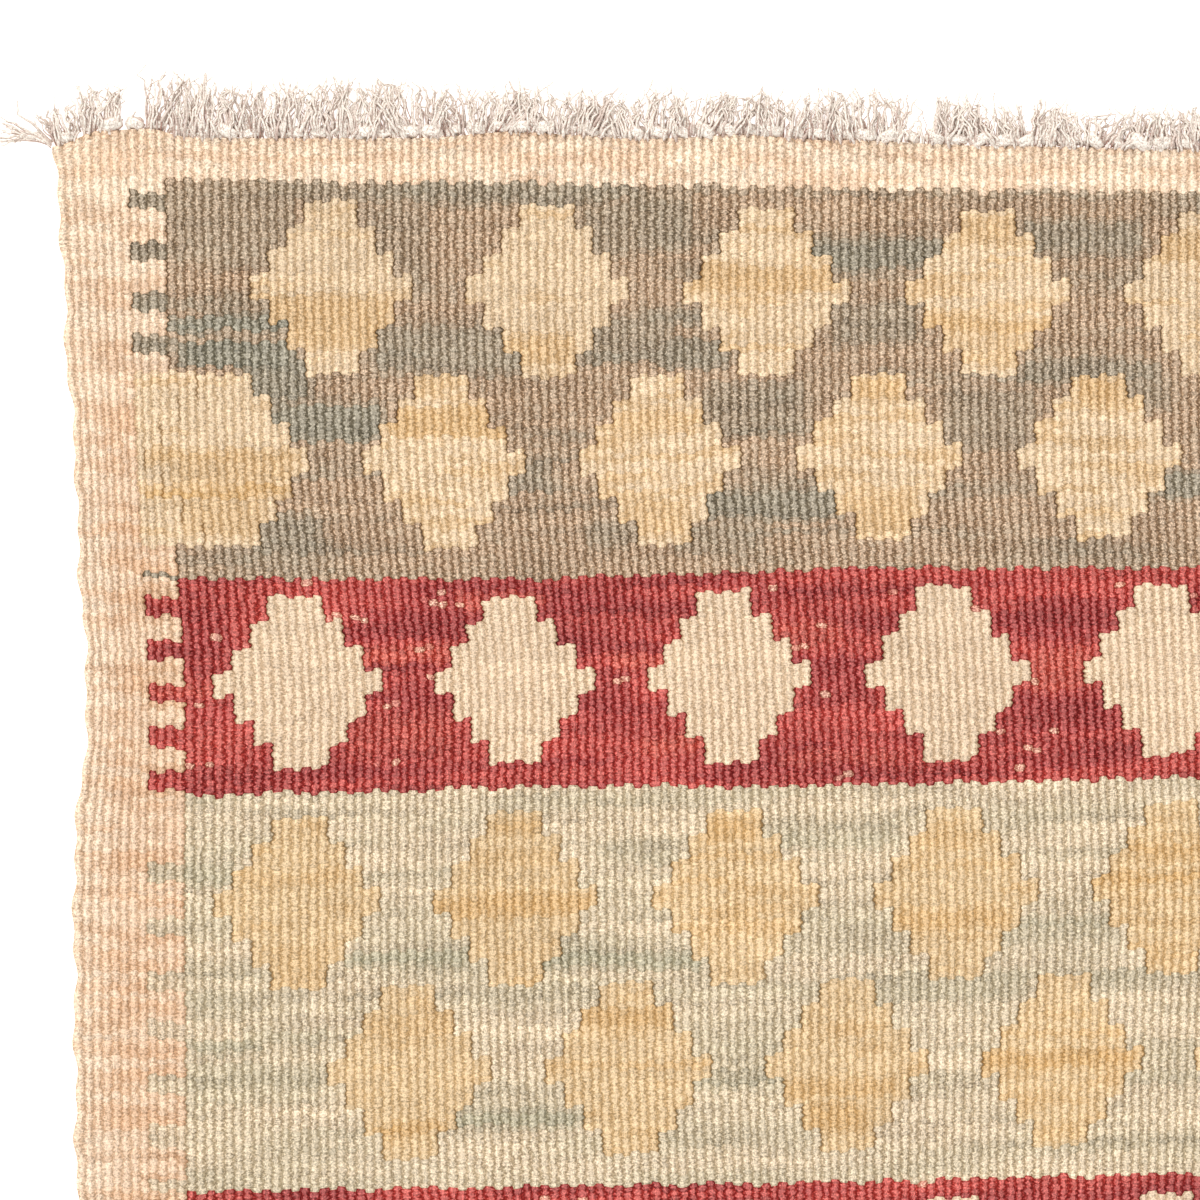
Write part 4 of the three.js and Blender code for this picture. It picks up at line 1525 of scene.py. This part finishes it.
class KILIM_OT_tie_fringes(bpy.types.Operator):
    """Tie the knots of both ends and fray their strands"""

    bl_idname = "kilim.tie_fringes"
    bl_label = "Tie fringes"

    def execute(self, context):
        fringe = context.scene.kilim_fringe
        plan = RugPlan(context.scene.kilim_weave)
        settings = settings_of(fringe, [*FRINGE_SIZES, "Seed"])
        settings["Finish"] = undyed_material(context.scene.kilim_yarns)
        tree = tied_fringe()
        for end in ("head", "foot"):
            piece = grown_piece("knots_and_strands_" + end, knot_row(plan, fringe, end), tree, settings)
            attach(piece, "root")
            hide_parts("fringe_" + end)
        return {"FINISHED"}


class KILIM_OT_set_stage(bpy.types.Operator):
    """Lay the floor, light it and hang the camera over the rug's corner"""

    bl_idname = "kilim.set_stage"
    bl_label = "Set stage"

    def execute(self, context):
        scene = context.scene
        stage = scene.kilim_stage
        plan = RugPlan(scene.kilim_weave)

        material, net = new_material("floor_white")
        grain = net.noise(net.node("ShaderNodeTexCoord").outputs["Object"], FLOOR_GRAIN, 3.0)
        pale = net.mix(grain, *((white, white, white) for white in FLOOR_WHITES))
        looks = {"Base Color": pale, "Roughness": 0.9, "Specular IOR Level": 0.1}
        net.surface({**looks, "Emission Color": pale, "Emission Strength": stage.glow})
        floor_mesh = bpy.data.meshes.new("floor")
        square = ((-1, -1), (1, -1), (1, 1), (-1, 1))
        corners = [(x * FLOOR_REACH, y * FLOOR_REACH, -FLOOR_DROP * MM) for x, y in square]
        floor_mesh.from_pydata(corners, [], [(0, 1, 2, 3)])
        floor_mesh.materials.append(material)
        floor = new_object("floor", floor_mesh)

        world = bpy.data.worlds.new("kilim_sky")
        world.use_nodes = True
        background = world.node_tree.nodes["Background"]
        background.inputs["Color"].default_value = (1, 1, 1, 1)
        background.inputs["Strength"].default_value = stage.sky
        scene.world = world
        lamp_data = bpy.data.lights.new("broad_lamp", "SUN")
        lamp_data.energy = stage.lamp
        lamp_data.angle = stage.lamp_softness
        lamp = new_object("broad_lamp", lamp_data)
        lamp.rotation_euler = [math.radians(turn) for turn in LAMP_TURN]

        per_pixel = scene.kilim_weave.warp_pitch / PIXELS_PER_WARP
        middle = PICTURE_PIXELS / 2
        x = plan.shift[0] - plan.width / 2 + (middle - CORNER_PIXEL[0]) * per_pixel
        y = plan.shift[1] + plan.length / 2 - (middle - CORNER_PIXEL[1]) * per_pixel
        camera_data = bpy.data.cameras.new("camera")
        camera_data.sensor_width = SENSOR
        camera_data.lens = SENSOR * stage.camera_height / (PICTURE_PIXELS * per_pixel)
        camera_data.clip_end = CAMERA_SIGHT
        camera = new_object("camera", camera_data)
        camera.location = (x, y, stage.camera_height)
        scene.camera = camera
        scene.view_settings.view_transform = "Standard"
        return {"FINISHED"}


class KILIM_PT_rug(bpy.types.Panel):
    """Sizes, yarns and steps of the rug"""

    bl_idname = "KILIM_PT_rug"
    bl_label = "Kilim rug"
    bl_space_type = "VIEW_3D"
    bl_region_type = "UI"
    bl_category = "Kilim"

    def draw(self, context):
        for settings in ("kilim_stage", "kilim_weave", "kilim_yarns", "kilim_fringe"):
            group = getattr(context.scene, settings)
            box = self.layout.box()
            for name in group.bl_rna.properties.keys():
                if name not in ("rna_type", "name"):
                    box.prop(group, name)
        for operator in OPERATORS:
            self.layout.operator(operator.bl_idname)


OPERATORS = (KILIM_OT_set_stage, KILIM_OT_weave_cloth, KILIM_OT_tie_fringes)
SETTINGS = {
    "kilim_weave": KilimWeave,
    "kilim_yarns": KilimYarns,
    "kilim_fringe": KilimFringe,
    "kilim_stage": KilimStage,
}


def register():
    for name, settings in SETTINGS.items():
        bpy.utils.register_class(settings)
        setattr(bpy.types.Scene, name, bpy.props.PointerProperty(type=settings))
    for kind in (*OPERATORS, KILIM_PT_rug):
        bpy.utils.register_class(kind)


def unregister():
    for kind in reversed((*OPERATORS, KILIM_PT_rug)):
        bpy.utils.unregister_class(kind)
    for name, settings in SETTINGS.items():
        delattr(bpy.types.Scene, name)
        bpy.utils.unregister_class(settings)


def main():
    """Make the scene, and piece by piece."""
    register()
    bpy.ops.kilim.set_stage()
    bpy.ops.kilim.weave_cloth()
    bpy.ops.kilim.tie_fringes()


if __name__ == "__main__":
    main()
